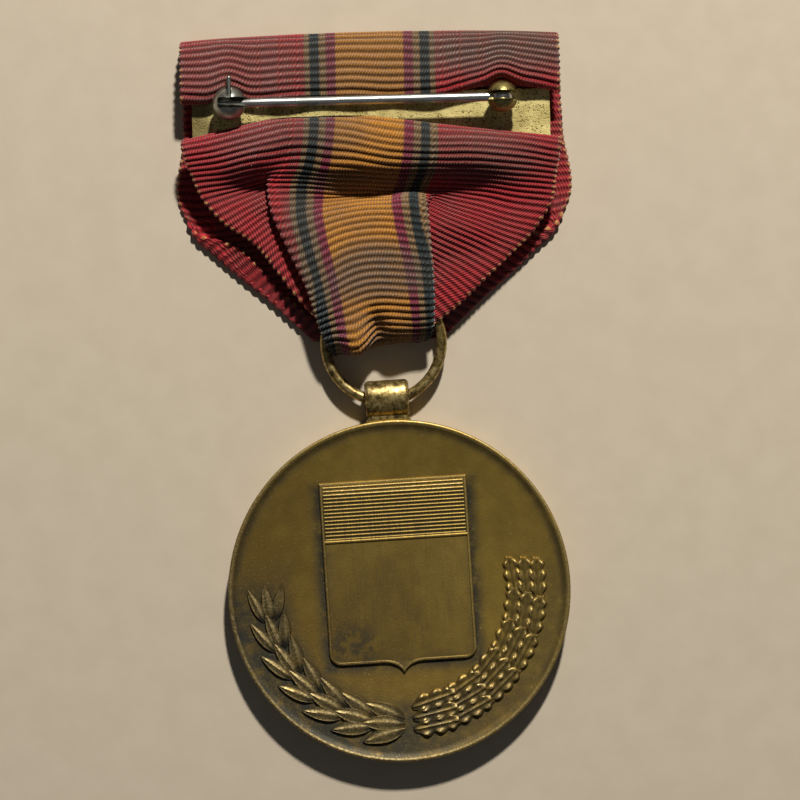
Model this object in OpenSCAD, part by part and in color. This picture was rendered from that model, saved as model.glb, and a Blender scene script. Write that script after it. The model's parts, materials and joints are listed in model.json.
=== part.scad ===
// Service medal lying on its face: slotted brooch bar, folded ribbon, ring, loop and struck disc.
// The row's frame: +X right, +Y towards the top of the bar, +Z up out of the table, back side up.

/* [Ribbon] */
// Width of the ribbon
ribbon_w = 34.9; // [32:0.1:38]
// Thickness of one layer of ribbon
ribbon_t = 0.45; // [0.3:0.05:0.5]
// Height of the rolled flap over the top rail
flap_h = 6.2; // [5.8:0.1:6.6]
// Height of the roll where the ribbon's other end comes out over the bottom rail
bulge_h = 3.2; // [2.6:0.1:3.4]
// Crown of the middle pleat above the table
pleat_z = 4.4; // [3.6:0.1:4.8]
// Distance from the ribbon's top edge down to the fold in the ring
fold_down = 29.1; // [28.6:0.1:29.2]
// Width of the gathered fold inside the ring
fold_w = 8.8; // [6:0.1:9]

/* [Bar] */
// Width of the brass bar
bar_w = 33.2; // [32:0.1:34]
// Height of the brass bar
bar_h = 11.6; // [11.4:0.1:12.4]
// Thickness of the brass sheet
bar_t = 0.8; // [0.6:0.05:0.8]
// Height of each slot for the ribbon
slot_h = 1.0; // [0.8:0.05:1]
// Length of each slot
slot_w = 31.2; // [30:0.1:31.5]
// Height of the middle rail that carries the hinge and the catch
mid_rail_h = 5.0; // [4.8:0.1:5.2]

/* [Hinge and pin] */
// Diameter of the two hinge cheeks
hinge_d = 2.9; // [2.6:0.05:3]
// Width of the slot between the cheeks
hinge_slot = 0.96; // [0.94:0.01:1.1]
// Diameter of the pin wire
pin_d = 0.86; // [0.8:0.01:0.88]
// Diameter of the pin's flat eye
eye_d = 2.2; // [1.8:0.05:2.2]
// Diameter of the hinge rivet
rivet_d = 0.7; // [0.6:0.05:0.8]
// Distance from the hinge to the middle of the catch
pin_span = 25.16; // [24.5:0.02:25.4]
// Height of the pin above the back of the bar
pin_lift = 2.2; // [2.15:0.05:2.4]

/* [Catch] */
// Diameter of the catch ball
catch_d = 3.1; // [3:0.05:3.2]
// Outside diameter of the turning sleeve
sleeve_d = 1.7; // [1.6:0.02:1.8]
// Length of the turning sleeve
sleeve_len = 1.8; // [1.6:0.05:1.9]
// Width of the mouth that lets the pin in
mouth_w = 0.96; // [0.94:0.01:1]
// Diameter of the thumb tab
tab_d = 0.4; // [0.3:0.02:0.44]
// Reach of the thumb tab from the pin's centre line
tab_reach = 2.35; // [2.1:0.05:2.5]

/* [Ring and loop] */
// Middle diameter of the suspension ring
ring_mid_d = 10.8; // [10.6:0.05:11]
// Diameter of the ring's wire
ring_wire_d = 1.0; // [0.8:0.05:1]
// Width of the closed joint in the ring
ring_joint = 0.06; // [0.04:0.01:0.1]
// Sideways place of the ring under the bar
ring_x = 0.6; // [0:0.1:0.8]
// Turn of the hanging medal about the ring
hang_turn = 2.2; // [0:0.1:2.4]
// Outside diameter of the barrel loop
barrel_d = 2.9; // [2.7:0.05:2.9]
// Bore of the barrel loop
barrel_bore_d = 1.6; // [1.6:0.02:1.7]
// Length of the barrel loop
barrel_len = 4.1; // [3.6:0.05:4.1]
// Width of the neck between the loop and the disc
neck_w = 2.8; // [2:0.1:3.2]

/* [Medal disc] */
// Diameter of the disc
disc_d = 31.75; // [30:0.05:31.8]
// Thickness of the disc over the rims
disc_t = 2.5; // [2.2:0.05:2.6]
// Distance from the ring's centre to the disc's centre
disc_drop = 23.1; // [23:0.05:23.6]
// Width of the raised rim
rim_w = 0.75; // [0.5:0.05:1]
// Depth of the back field below the rim
back_depth = 0.5; // [0.35:0.05:0.6]
// Depth of the front field above the front rim
front_depth = 0.35; // [0.25:0.05:0.45]
// Width of the shield
shield_w = 13.7; // [13:0.1:14]
// Height of the shield with its point
shield_h = 18.0; // [17.6:0.1:18.2]
// Height of the shield's lined upper band
band_h = 5.5; // [5:0.1:6]
// Number of lines across the upper band
band_lines = 15; // [9:1:17]
// Number of raised stripes below the band
stripes = 7; // [5:1:9]
// Middle radius of the wreath
wreath_r = 13.0; // [12.8:0.1:13.2]
// Number of leaf groups on each branch
leaf_groups = 7; // [5:1:8]
// Number of rays around the star on the front
rays = 24; // [12:1:32]

/* [Hidden] */
$fn = 48;
eps = 0.01;
layer_gap = 0.05;                               // air left between two layers of one body
run_gap = 0.04;                                 // running clearance around the rivet and sleeve
disc_r = disc_d / 2;
ring_r = ring_mid_d / 2;
ring_down = fold_down - 0.9;
top_y = (ring_down + disc_drop * cos(hang_turn) + disc_r) / 2;
mid_t = ribbon_t / 2;
tuck_z = ribbon_t + layer_gap + mid_t;          // middle of the ends tucked behind the bar
stitch_d = 0.2;
bar_z = 1.3;
bar_back_z = bar_z + bar_t;
bar_top = top_y - 0.8;
bar_bottom = bar_top - bar_h;
bottom_rail_h = 1.4;
slot_lo = bar_bottom + bottom_rail_h;
slot_hi = slot_lo + slot_h + mid_rail_h;
slot_lo_mid = slot_lo + slot_h / 2;
slot_hi_mid = slot_hi + slot_h / 2;
pass_w = slot_w - 0.4;                          // the ribbon is drawn in where it passes a slot
pin_y = slot_hi - 0.85;
pin_z = bar_back_z + pin_lift;
catch_x = -13.0;
hinge_x = catch_x + pin_span;
fixture_clear = 0.2;                            // ribbon to ball
tuck_hi = slot_hi - 2.1;
tuck_lo = tuck_hi - 0.4;
flap_y = top_y - flap_h;
roll_lo = bar_back_z + mid_t + layer_gap;       // the flap's under layer, on the middle rail
roll_hi = roll_lo + 0.58;
bulge_y = slot_lo_mid + bulge_h - 0.9;
bulge_z = bar_back_z + 1.9;
hinge_line_y = bar_bottom - 1.2;                // line the hanging ribbon bends about
hinge_line_gap = 0.75;
fold_y = top_y - fold_down;
ring_y = top_y - ring_down;
ring_z = 1.45;
barrel_drop = ring_r - 0.2;                     // half of the ring's rise inside the bore
fold_r = 1.15;                                  // fold radius to the middle of the ribbon
fold_z = fold_r + mid_t;
ring_room = ring_r + ring_wire_d / 2 + 0.3;
field_z = disc_t - back_depth;
relief_z = disc_t - 0.12;
shield_top = 10.4;
shield_corner = 2.1;                            // rise of the lower corners above the point

BRASS = [0.72, 0.58, 0.30];
SILVER = [0.66, 0.67, 0.64];
BRONZE = [0.42, 0.34, 0.18];
CRIMSON = [0.50, 0.12, 0.15];
THREAD = [0.85, 0.80, 0.70];

// ---- helpers ----

function unit(v) = v / norm(v);

// Sideways step at one point of a path, long enough to keep the strip's thickness in a bend.
function side(p, i) =
    let (a = i == 0 ? unit(p[1] - p[0]) : unit(p[i] - p[i - 1]),
         b = i == len(p) - 1 ? a : unit(p[i + 1] - p[i]),
         t = unit(a + b))
    [-t[1], t[0]] / (t * a);

function strip(p, half) = concat(
    [for (i = [0:len(p) - 1]) p[i] + side(p, i) * half],
    [for (i = [len(p) - 1:-1:0]) p[i] - side(p, i) * half]);

// Extrudes a [y, z] outline along X, centred on x.
module along_x(w, x = 0) {
    translate([x, 0, 0]) rotate([90, 0, 90]) linear_extrude(w, center = true) children();
}

module layer(path, w) {
    along_x(w) polygon(strip(path, mid_t));
}

module rod_x(d, len) {
    rotate([0, 90, 0]) cylinder(d = d, h = len, center = true);
}

module rod_y(d, len) {
    rotate([90, 0, 0]) cylinder(d = d, h = len, center = true);
}

module at_catch() {
    translate([catch_x, pin_y, pin_z]) children();
}

module at_hinge() {
    translate([hinge_x, pin_y, pin_z]) children();
}

module at_ring() {
    translate([ring_x, ring_y, 0]) children();
}

// The hanging medal's own frame: origin at the ring's centre, medal down -Y.
module hung() {
    at_ring() rotate(hang_turn) children();
}

module at_disc() {
    hung() translate([0, -disc_drop, 0]) children();
}

// ---- brooch bar ----

module bar_plate() {
    corner = 0.8;
    color(BRASS) translate([0, 0, bar_z]) linear_extrude(bar_t) difference() {
        union() {
            translate([-bar_w / 2 + corner, bar_bottom]) square([bar_w - 2 * corner, bar_h]);
            translate([-bar_w / 2, bar_bottom + corner]) square([bar_w, bar_h - 2 * corner]);
            for (x = [-1, 1], y = [bar_bottom + corner, bar_top - corner])
                translate([x * (bar_w / 2 - corner), y]) circle(corner);
        }
        for (y = [slot_lo, slot_hi])
            translate([-slot_w / 2, y]) square([slot_w, slot_h]);
    }
}

module hinge_block() {
    eye_room = eye_d / 2 + 0.1;
    post_h = pin_lift - eye_room;
    color(BRASS) difference() {
        union() {
            at_hinge() sphere(d = hinge_d);
            translate([hinge_x, pin_y, bar_back_z]) cylinder(d = hinge_d * 0.72, h = post_h);
        }
        at_hinge() {
            translate([-hinge_d, -hinge_slot / 2, -eye_room])
                cube([2 * hinge_d, hinge_slot, hinge_d + eye_room]);
            rod_y(rivet_d + 0.02, hinge_d);
        }
    }
}

module hinge_rivet() {
    color(BRASS) at_hinge() rod_y(rivet_d, hinge_d - 0.12);
}

module catch_ball() {
    post_h = pin_lift - sleeve_d / 2 - 0.12;
    groove_w = tab_d + 0.14;
    color(SILVER) difference() {
        union() {
            at_catch() sphere(d = catch_d);
            translate([catch_x, pin_y, bar_back_z]) cylinder(d = catch_d * 0.62, h = post_h);
        }
        at_catch() {
            rod_x(sleeve_d + 2 * run_gap, sleeve_len + 2 * run_gap);
            translate([catch_d / 2, 0, 0]) rod_x(mouth_w, catch_d);
            translate([-sleeve_len / 2 - 0.15, -mouth_w / 2, 0])
                cube([catch_d * 2, mouth_w, catch_d]);
            // the tab's groove runs from +Y over the top and a little down the other side
            rotate([90, 0, 90]) rotate(-15) rotate_extrude(angle = 130)
                translate([sleeve_d / 2 - 0.1, -groove_w / 2]) square([catch_d, groove_w]);
        }
    }
}

// ---- moving pieces of the fastening ----

module pin() {
    root_len = hinge_d / 2 + 0.35;
    taper_x = catch_d / 2 + 0.2;
    tip_r = 0.14;
    taper_len = taper_x + sleeve_len / 2;
    stem_end = pin_span - taper_x;
    color(SILVER) at_hinge() difference() {
        union() {
            rod_y(eye_d, pin_d);
            translate([-root_len, -pin_d / 2, -pin_d / 2]) cube([root_len, pin_d, pin_d]);
            translate([-(root_len + stem_end) / 2, 0, 0]) rod_x(pin_d, stem_end - root_len);
            translate([-stem_end, 0, 0]) rotate([0, -90, 0])
                cylinder(r1 = pin_d / 2, r2 = tip_r, h = taper_len);
            translate([-stem_end - taper_len, 0, 0]) sphere(tip_r);
        }
        rod_y(rivet_d + 2 * run_gap, hinge_d);
    }
}

module catch_rotor() {
    bore = mouth_w + 0.08;
    wall_mid = (sleeve_d + bore) / 4;
    color(SILVER) at_catch() {
        difference() {
            rod_x(sleeve_d, sleeve_len);
            rod_x(bore, sleeve_len + 1);
            translate([-sleeve_len, -mouth_w / 2, 0]) cube([2 * sleeve_len, mouth_w, sleeve_d]);
        }
        translate([0, (wall_mid + tab_reach) / 2, 0]) rod_y(tab_d, tab_reach - wall_mid);
        translate([0, tab_reach, 0]) sphere(d = tab_d + 0.04);
    }
}

// ---- ribbon ----

wrap_back = [
    [flap_y + 0.7, roll_lo], [flap_y + 0.35, roll_lo + 0.07], [flap_y + mid_t, roll_lo + 0.29],
    [flap_y + 0.35, roll_hi - 0.07], [flap_y + 0.7, roll_hi], [slot_hi + 2.4, roll_hi - 0.1],
    [top_y - 0.75, roll_lo], [top_y - mid_t, bar_back_z - 0.2], [top_y - mid_t, mid_t + 0.5],
    [top_y - 0.7, mid_t], [hinge_line_y + hinge_line_gap, mid_t]];

wrap_tuck = [
    [tuck_hi, tuck_z], [slot_hi_mid - 0.55, tuck_z], [slot_hi_mid, tuck_z + 0.5],
    [slot_hi_mid, bar_back_z - 0.1], [slot_hi_mid - 0.4, roll_lo], [flap_y + 0.6, roll_lo]];

tail_back = [
    [bulge_y - 0.6, bar_back_z + 0.32], [bulge_y - 0.1, bar_back_z + 0.6],
    [bulge_y, bar_back_z + 1.1], [bulge_y - 0.6, bulge_z - 0.35], [slot_lo_mid + 0.6, bulge_z],
    [slot_lo - 0.2, bulge_z - 0.1], [bar_bottom + 0.35, bar_back_z + 1.1],
    [bar_bottom - 0.25, bar_back_z - 0.1]];

tail_tuck = [
    [tuck_lo, tuck_z], [slot_lo_mid + 0.55, tuck_z], [slot_lo_mid, tuck_z + 0.5],
    [slot_lo_mid, bar_back_z + 0.05], [slot_lo_mid + 0.4, bar_back_z + 0.32],
    [bulge_y - 0.5, bar_back_z + 0.32]];

module ribbon_wrap() {
    color(CRIMSON) difference() {
        union() {
            layer(wrap_back, ribbon_w);
            layer(wrap_tuck, pass_w);
        }
        for (f = [[catch_x, catch_d], [hinge_x, hinge_d]])
            translate([f[0], pin_y, bar_back_z]) cylinder(d = f[1] + 2 * fixture_clear, h = pin_lift);
    }
}

module ribbon_tail() {
    color(CRIMSON) {
        layer(tail_back, ribbon_w);
        layer(tail_tuck, pass_w);
    }
}

// The hanging part: front layer, fold through the ring, raised pleat and the two side wings.
module ribbon_drape() {
    start_y = hinge_line_y - hinge_line_gap;
    crown = pleat_z - mid_t;
    fold_mid = fold_y + mid_t + fold_r;
    side_x = ribbon_w / 2;
    low_z = 1.55;
    rise = crown - low_z;
    pleat = concat(
        [[start_y, low_z], [start_y - 1.2, low_z], [start_y - 2.9, low_z + rise * 0.3],
         [start_y - 5.4, low_z + rise * 0.8], [start_y - 8.4, crown],
         [fold_mid + 2.2, crown - rise * 0.25]],
        [for (a = [90:30:270]) [fold_mid, fold_z] + fold_r * [cos(a), sin(a)]],
        [[fold_mid + 1, mid_t]]);
    pleat_top = [-2.6, 7.0];
    color(CRIMSON) difference() {
        union() {
            intersection() {
                layer(pleat, ribbon_w);
                linear_extrude(pleat_z + 1) polygon([
                    [ring_x - fold_w / 2, fold_y - 1], [ring_x + fold_w / 2, fold_y - 1],
                    [ring_x + fold_w / 2, fold_mid + 0.4], [5.3, fold_mid + 1.7],
                    [pleat_top[0] + pleat_top[1], start_y + 1],
                    [pleat_top[0] - pleat_top[1], start_y + 1],
                    [-5.2, fold_mid + 1.2], [ring_x - fold_w / 2, fold_mid + 0.4]]);
            }
            linear_extrude(ribbon_t) polygon([
                [-side_x, start_y], [-side_x + 0.5, start_y - 4], [-7.6, fold_mid + 1.6],
                [ring_x - fold_w / 2, fold_mid], [ring_x + fold_w / 2, fold_mid],
                [7.6, fold_mid], [side_x - 0.2, start_y - 4.6], [side_x, start_y]]);
            translate([0, 0, low_z - mid_t]) linear_extrude(ribbon_t) polygon([
                [-side_x + 1.6, start_y], [-side_x + 2.6, start_y - 1.7],
                [-side_x + 5.6, start_y - 4], [-6.2, fold_mid + 2.4], [6.2, fold_mid + 2.2],
                [side_x - 3.6, start_y - 5.2], [side_x - 1.2, start_y - 2], [side_x - 0.8, start_y]]);
        }
        difference() {
            at_ring() translate([0, 0, ribbon_t + 0.2]) cylinder(r = ring_room, h = low_z - 0.05);
            translate([ring_x - fold_w / 2, fold_y - 1, 0]) cube([fold_w, fold_r + 2, 3]);
        }
    }
}

module end_stitches() {
    count = 9;
    pitch = pass_w / count;
    reach = 1.4;
    color(THREAD) for (i = [0:count - 1])
        translate([(i - (count - 1) / 2) * pitch, (tuck_lo + tuck_hi) / 2,
                   tuck_z + mid_t + 0.02 + stitch_d / 2])
            rod_y(stitch_d, reach);
}

// ---- ring, loop and disc ----

module ring() {
    color(BRONZE) at_ring() translate([0, 0, ring_z]) difference() {
        rotate_extrude() translate([ring_r, 0]) circle(d = ring_wire_d, $fn = 24);
        translate([-ring_joint / 2, ring_r - ring_wire_d, -ring_wire_d])
            cube([ring_joint, 2 * ring_wire_d, 2 * ring_wire_d]);
    }
}

module barrel_loop() {
    neck_t = disc_t - 1;
    color(BRONZE) hung() difference() {
        union() {
            translate([0, -barrel_drop, ring_z]) rod_x(barrel_d, barrel_len);
            translate([-neck_w / 2, -barrel_drop - barrel_d, (disc_t - neck_t) / 2])
                cube([neck_w, barrel_d, neck_t]);
        }
        translate([0, -barrel_drop, ring_z]) rod_x(barrel_bore_d, barrel_len + 1);
        translate([0, -disc_drop, -1]) cylinder(r = disc_r, h = disc_t + 2, $fn = 96);
    }
}

// Pointed leaf of the given length along +X, starting at the origin.
module leaf2d(len, w) {
    r = (len * len / 4 + w * w / 4) / w;
    intersection() {
        translate([len / 2, r - w / 2]) circle(r);
        translate([len / 2, w / 2 - r]) circle(r);
    }
}

// Lobed leaf of the given length along +X.
module lobed2d(len) {
    for (i = [0:2]) translate([len * (0.22 + 0.28 * i), 0]) circle(len * (0.21 - 0.04 * i), $fn = 24);
}

// Half wreath: laurel in threes on the left, lobed leaves in threes on the right.
module wreath2d() {
    first = 12;
    last = 118;
    step = (last - first) / (leaf_groups - 1);
    for (i = [0:leaf_groups - 1]) {
        rotate(-90 - first - i * step) translate([wreath_r, 0]) rotate(-90)
            for (a = [-32, 0, 32]) rotate(a) leaf2d(2.7, 1.0);
        rotate(-90 + first + i * step) translate([wreath_r, 0]) rotate(90)
            for (a = [-38, 0, 38]) rotate(a) lobed2d(2.5);
    }
}

module shield2d(inset = 0) {
    half = shield_w / 2 - inset;
    point = shield_top - shield_h + inset;
    corner_y = shield_top - shield_h + shield_corner;
    top = shield_top - inset;
    polygon(concat(
        [[-half, top], [-half, corner_y]],
        [for (a = [15:15:75]) [-half * cos(a), corner_y - (corner_y - point) * sin(a)]],
        [[0, point - 0.35]],
        [for (a = [75:-15:15]) [half * cos(a), corner_y - (corner_y - point) * sin(a)]],
        [[half, corner_y], [half, top]]));
}

module star2d(r) {
    polygon([for (i = [0:9]) (i % 2 == 0 ? r : r * 0.4) * [sin(i * 36), cos(i * 36)]]);
}

module medal_disc() {
    border = 0.35;
    rounding = 0.3;
    band_base = shield_top - band_h;
    line_pitch = (band_h - 2 * border) / (band_lines + 1);
    inner_w = shield_w - 2 * border;
    stripe_pitch = inner_w / (2 * stripes + 1);
    field_r = disc_r - rim_w;
    color(BRONZE) at_disc() difference() {
        union() {
            rotate_extrude($fn = 96) polygon([
                [0, front_depth], [field_r, front_depth], [field_r + 0.15, 0],
                [disc_r - rounding, 0], [disc_r, rounding], [disc_r, disc_t - rounding],
                [disc_r - rounding, disc_t], [field_r + 0.15, disc_t],
                [field_r, field_z], [0, field_z]]);
            translate([0, 0, field_z - eps]) linear_extrude(relief_z - field_z) shield2d();
            translate([0, 0, field_z - eps]) linear_extrude(relief_z - field_z - 0.08) wreath2d();
            // front: star inside a circle of rays, all a little below the front rim
            translate([0, 0, 0.08]) linear_extrude(front_depth) star2d(disc_r * 0.5);
            translate([0, 0, 0.16]) linear_extrude(front_depth) for (i = [0:rays - 1])
                rotate((i + 0.5) * 360 / rays) translate([disc_r * 0.62, -0.3]) square([4, 0.6]);
        }
        translate([0, 0, relief_z - 0.14]) {
            linear_extrude(1) for (i = [1:band_lines])
                translate([-inner_w / 2, band_base + border + i * line_pitch - line_pitch / 4])
                    square([inner_w, line_pitch / 2]);
            linear_extrude(1) intersection() {
                shield2d(border);
                for (i = [0:stripes])
                    translate([-inner_w / 2 + 2 * i * stripe_pitch, -disc_r])
                        square([stripe_pitch, disc_r + band_base - border]);
            }
        }
    }
}

bar_plate();
hinge_block();
hinge_rivet();
catch_ball();
ribbon_wrap();
ribbon_tail();
end_stitches();
pin();
catch_rotor();
ribbon_drape();
ring();
barrel_loop();
medal_disc();
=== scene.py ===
"""Looks of a service medal lying face down: striped ribbon, pin-back bar, ring, loop and struck disc."""

import json
import logging
import math
from collections.abc import Callable, Sequence
from dataclasses import dataclass, field
from enum import Enum

import bmesh
import bpy
import numpy as np
from mathutils import Matrix, Vector


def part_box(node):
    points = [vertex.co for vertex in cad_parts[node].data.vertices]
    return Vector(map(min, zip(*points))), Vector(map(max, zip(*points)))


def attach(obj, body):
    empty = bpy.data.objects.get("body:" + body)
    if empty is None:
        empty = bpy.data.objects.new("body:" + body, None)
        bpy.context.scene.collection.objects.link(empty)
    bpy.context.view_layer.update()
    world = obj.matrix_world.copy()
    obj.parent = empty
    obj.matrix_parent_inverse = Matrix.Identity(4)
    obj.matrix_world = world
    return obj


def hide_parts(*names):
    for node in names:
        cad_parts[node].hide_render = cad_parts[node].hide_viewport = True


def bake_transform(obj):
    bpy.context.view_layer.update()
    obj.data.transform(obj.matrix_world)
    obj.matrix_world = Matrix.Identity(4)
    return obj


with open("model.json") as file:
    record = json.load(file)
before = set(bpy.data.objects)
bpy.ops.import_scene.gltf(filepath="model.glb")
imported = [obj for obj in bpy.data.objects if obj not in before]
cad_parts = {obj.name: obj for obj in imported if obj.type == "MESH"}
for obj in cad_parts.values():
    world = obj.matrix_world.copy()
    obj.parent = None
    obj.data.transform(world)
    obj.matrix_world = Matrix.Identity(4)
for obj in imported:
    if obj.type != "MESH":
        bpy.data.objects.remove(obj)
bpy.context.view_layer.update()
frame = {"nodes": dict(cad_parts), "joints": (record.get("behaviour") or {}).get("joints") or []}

MM = 0.001
LOG = logging.getLogger("medal")


class Body(Enum):
    """The moving bodies that the pieces ride on."""

    BROOCH = "brooch"
    PIN = "pin"
    CATCH = "catch_rotor"
    DRAPE = "drape"
    RING = "ring"
    PENDANT = "pendant"


class Slot(Enum):
    """Names for the scene's finishes."""

    BRASS = "bar_brass"
    NICKEL = "nickel"
    BRONZE = "bronze"
    RIBBON = "ribbon"
    THREAD = "thread"


def smoothstep(low: float, high: float, x: np.ndarray | float) -> np.ndarray | float:
    """Rises softly from 0 at low to 1 at high."""
    t = np.clip((x - low) / (high - low), 0.0, 1.0)
    return t * t * (3 - 2 * t)


def joint_named(name: str) -> dict:
    """The record's row of one joint."""
    return next(j for j in frame["joints"] if j["name"] == name)


def pendant_turn() -> float:
    """How far the pendant hangs turned from straight, in radians."""
    axis = joint_named("pendant_swing")["axis"]
    return math.atan2(-axis[1], -axis[0])


# ---- the bench: operator steps shared by every piece ----


class Editing:
    """Opens one piece in edit mode with nothing selected, and picks its faces, edges or points by place."""

    def __init__(self, piece: bpy.types.Object) -> None:
        """Keeps the piece to edit."""
        self.piece = piece

    def __enter__(self) -> "Editing":
        """Selects the piece alone and enters edit mode."""
        bpy.ops.object.select_all(action="DESELECT")
        self.piece.select_set(True)
        bpy.context.view_layer.objects.active = self.piece
        bpy.ops.object.mode_set(mode="EDIT")
        bpy.ops.mesh.select_all(action="DESELECT")
        return self

    def __exit__(self, *_: object) -> None:
        """Leaves edit mode."""
        bpy.ops.object.mode_set(mode="OBJECT")

    def pick(self, kind: str, test: Callable[[Vector, Vector], bool]) -> None:
        """Selects what passes a test and nothing else.

        Args:
            kind: FACE, EDGE or VERT.
            test: takes the middle and the normal, or an edge's direction, and says whether it is wanted.
        """
        bpy.ops.mesh.select_mode(type=kind)
        bpy.ops.mesh.select_all(action="DESELECT")
        mesh = bmesh.from_edit_mesh(self.piece.data)
        if kind == "FACE":
            wanted = [(f, f.calc_center_median(), f.normal) for f in mesh.faces]
        elif kind == "EDGE":
            ends = [(e, e.verts[0].co, e.verts[1].co) for e in mesh.edges]
            wanted = [(e, (a + b) / 2, (b - a).normalized()) for e, a, b in ends]
        else:
            wanted = [(v, v.co, v.normal) for v in mesh.verts]
        for element, middle, direction in wanted:
            if test(middle, direction):
                element.select_set(True)
        mesh.select_flush_mode()
        bmesh.update_edit_mesh(self.piece.data)

    def all(self) -> None:
        """Selects everything."""
        bpy.ops.mesh.select_all(action="SELECT")

    def reshape(self, move: Callable[[Vector], Vector]) -> None:
        """Puts each point where move says."""
        mesh = bmesh.from_edit_mesh(self.piece.data)
        for v in mesh.verts:
            v.co = move(v.co.copy())
        bmesh.update_edit_mesh(self.piece.data)


class Bench:
    """Starts, finishes, copies and joins pieces."""

    @staticmethod
    def start(add: Callable[..., object], name: str, **how: object) -> bpy.types.Object:
        """Adds a primitive, names it, and puts its place into its mesh."""
        bpy.ops.object.select_all(action="DESELECT")
        add(**how)
        piece = bpy.context.object
        piece.name = piece.data.name = name
        bpy.ops.object.transform_apply(location=True, rotation=True, scale=True)
        return piece

    @staticmethod
    def only(piece: bpy.types.Object) -> None:
        """Selects one piece alone."""
        bpy.ops.object.select_all(action="DESELECT")
        piece.select_set(True)
        bpy.context.view_layer.objects.active = piece

    @staticmethod
    def smooth(piece: bpy.types.Object, angle: float = 35.0) -> None:
        """Shades smooth over every edge flatter than the angle, in degrees."""
        Bench.only(piece)
        bpy.ops.object.shade_smooth_by_angle(angle=math.radians(angle))

    @staticmethod
    def copies(piece: bpy.types.Object, places: Sequence[Matrix]) -> list[bpy.types.Object]:
        """Makes one copy of a piece at each place, each with its own mesh, and removes the pattern."""
        made = []
        for place in places:
            copy = piece.copy()
            copy.data = piece.data.copy()
            copy.data.transform(place)
            bpy.context.scene.collection.objects.link(copy)
            made.append(copy)
        bpy.data.objects.remove(piece)
        return made

    @staticmethod
    def join(pieces: Sequence[bpy.types.Object], name: str) -> bpy.types.Object:
        """Joins pieces into one of the given name."""
        bpy.ops.object.select_all(action="DESELECT")
        for piece in pieces:
            piece.select_set(True)
        bpy.context.view_layer.objects.active = pieces[0]
        bpy.ops.object.join()
        joined = bpy.context.object
        joined.name = joined.data.name = name
        return joined

    @staticmethod
    def weld(piece: bpy.types.Object) -> None:
        """Merges doubled points and turns every face outwards."""
        with Editing(piece) as edit:
            edit.all()
            bpy.ops.mesh.remove_doubles(threshold=0.002 * MM)
            bpy.ops.mesh.normals_make_consistent(inside=False)


def dress(piece: bpy.types.Object, material: bpy.types.Material) -> None:
    """Gives every slot of a piece the same material."""
    if not piece.material_slots:
        piece.data.materials.append(material)
    for held in piece.material_slots:
        held.material = material


# ---- shader maths ----


class Value:
    """A number that varies over a surface: a socket that Python's operators work on."""

    def __init__(self, paint: "Paint", socket: bpy.types.NodeSocket) -> None:
        """Wraps an output socket."""
        self.paint, self.socket = paint, socket

    def _math(self, operation: str, *others: "Value | float") -> "Value":
        """Adds one Math node that starts with this value."""
        return self.paint.math(operation, self, *others)

    def __add__(self, other: "Value | float") -> "Value":
        """Sum."""
        return self._math("ADD", other)

    __radd__ = __add__

    def __mul__(self, other: "Value | float") -> "Value":
        """Product."""
        return self._math("MULTIPLY", other)

    __rmul__ = __mul__

    def __sub__(self, other: "Value | float") -> "Value":
        """Difference."""
        return self._math("SUBTRACT", other)

    def __rsub__(self, other: float) -> "Value":
        """Difference from a number."""
        return self.paint.math("SUBTRACT", other, self)

    def __truediv__(self, other: "Value | float") -> "Value":
        """Quotient."""
        return self._math("DIVIDE", other)

    def __pow__(self, other: "Value | float") -> "Value":
        """Power."""
        return self._math("POWER", other)

    def __abs__(self) -> "Value":
        """Size without sign."""
        return self._math("ABSOLUTE")

    def above(self, edge: float, soft: float) -> "Value":
        """0 below the edge and 1 above it, with a soft step."""
        node = self.paint.node("ShaderNodeMapRange", {"interpolation_type": "SMOOTHSTEP"},
                               {"Value": self, "From Min": edge - soft, "From Max": edge + soft})
        return Value(self.paint, node.outputs["Result"])

    def most(self, other: "Value | float") -> "Value":
        """The greater of the two."""
        return self._math("MAXIMUM", other)

    def least(self, other: "Value | float") -> "Value":
        """The smaller of the two."""
        return self._math("MINIMUM", other)

    def wave(self, turns: float) -> "Value":
        """Sine of the value, from 0 to 1, with that many turns for each unit."""
        return (self * (turns * math.tau))._math("SINE") * 0.5 + 0.5


Fed = Value | bpy.types.NodeSocket | float | tuple


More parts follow.
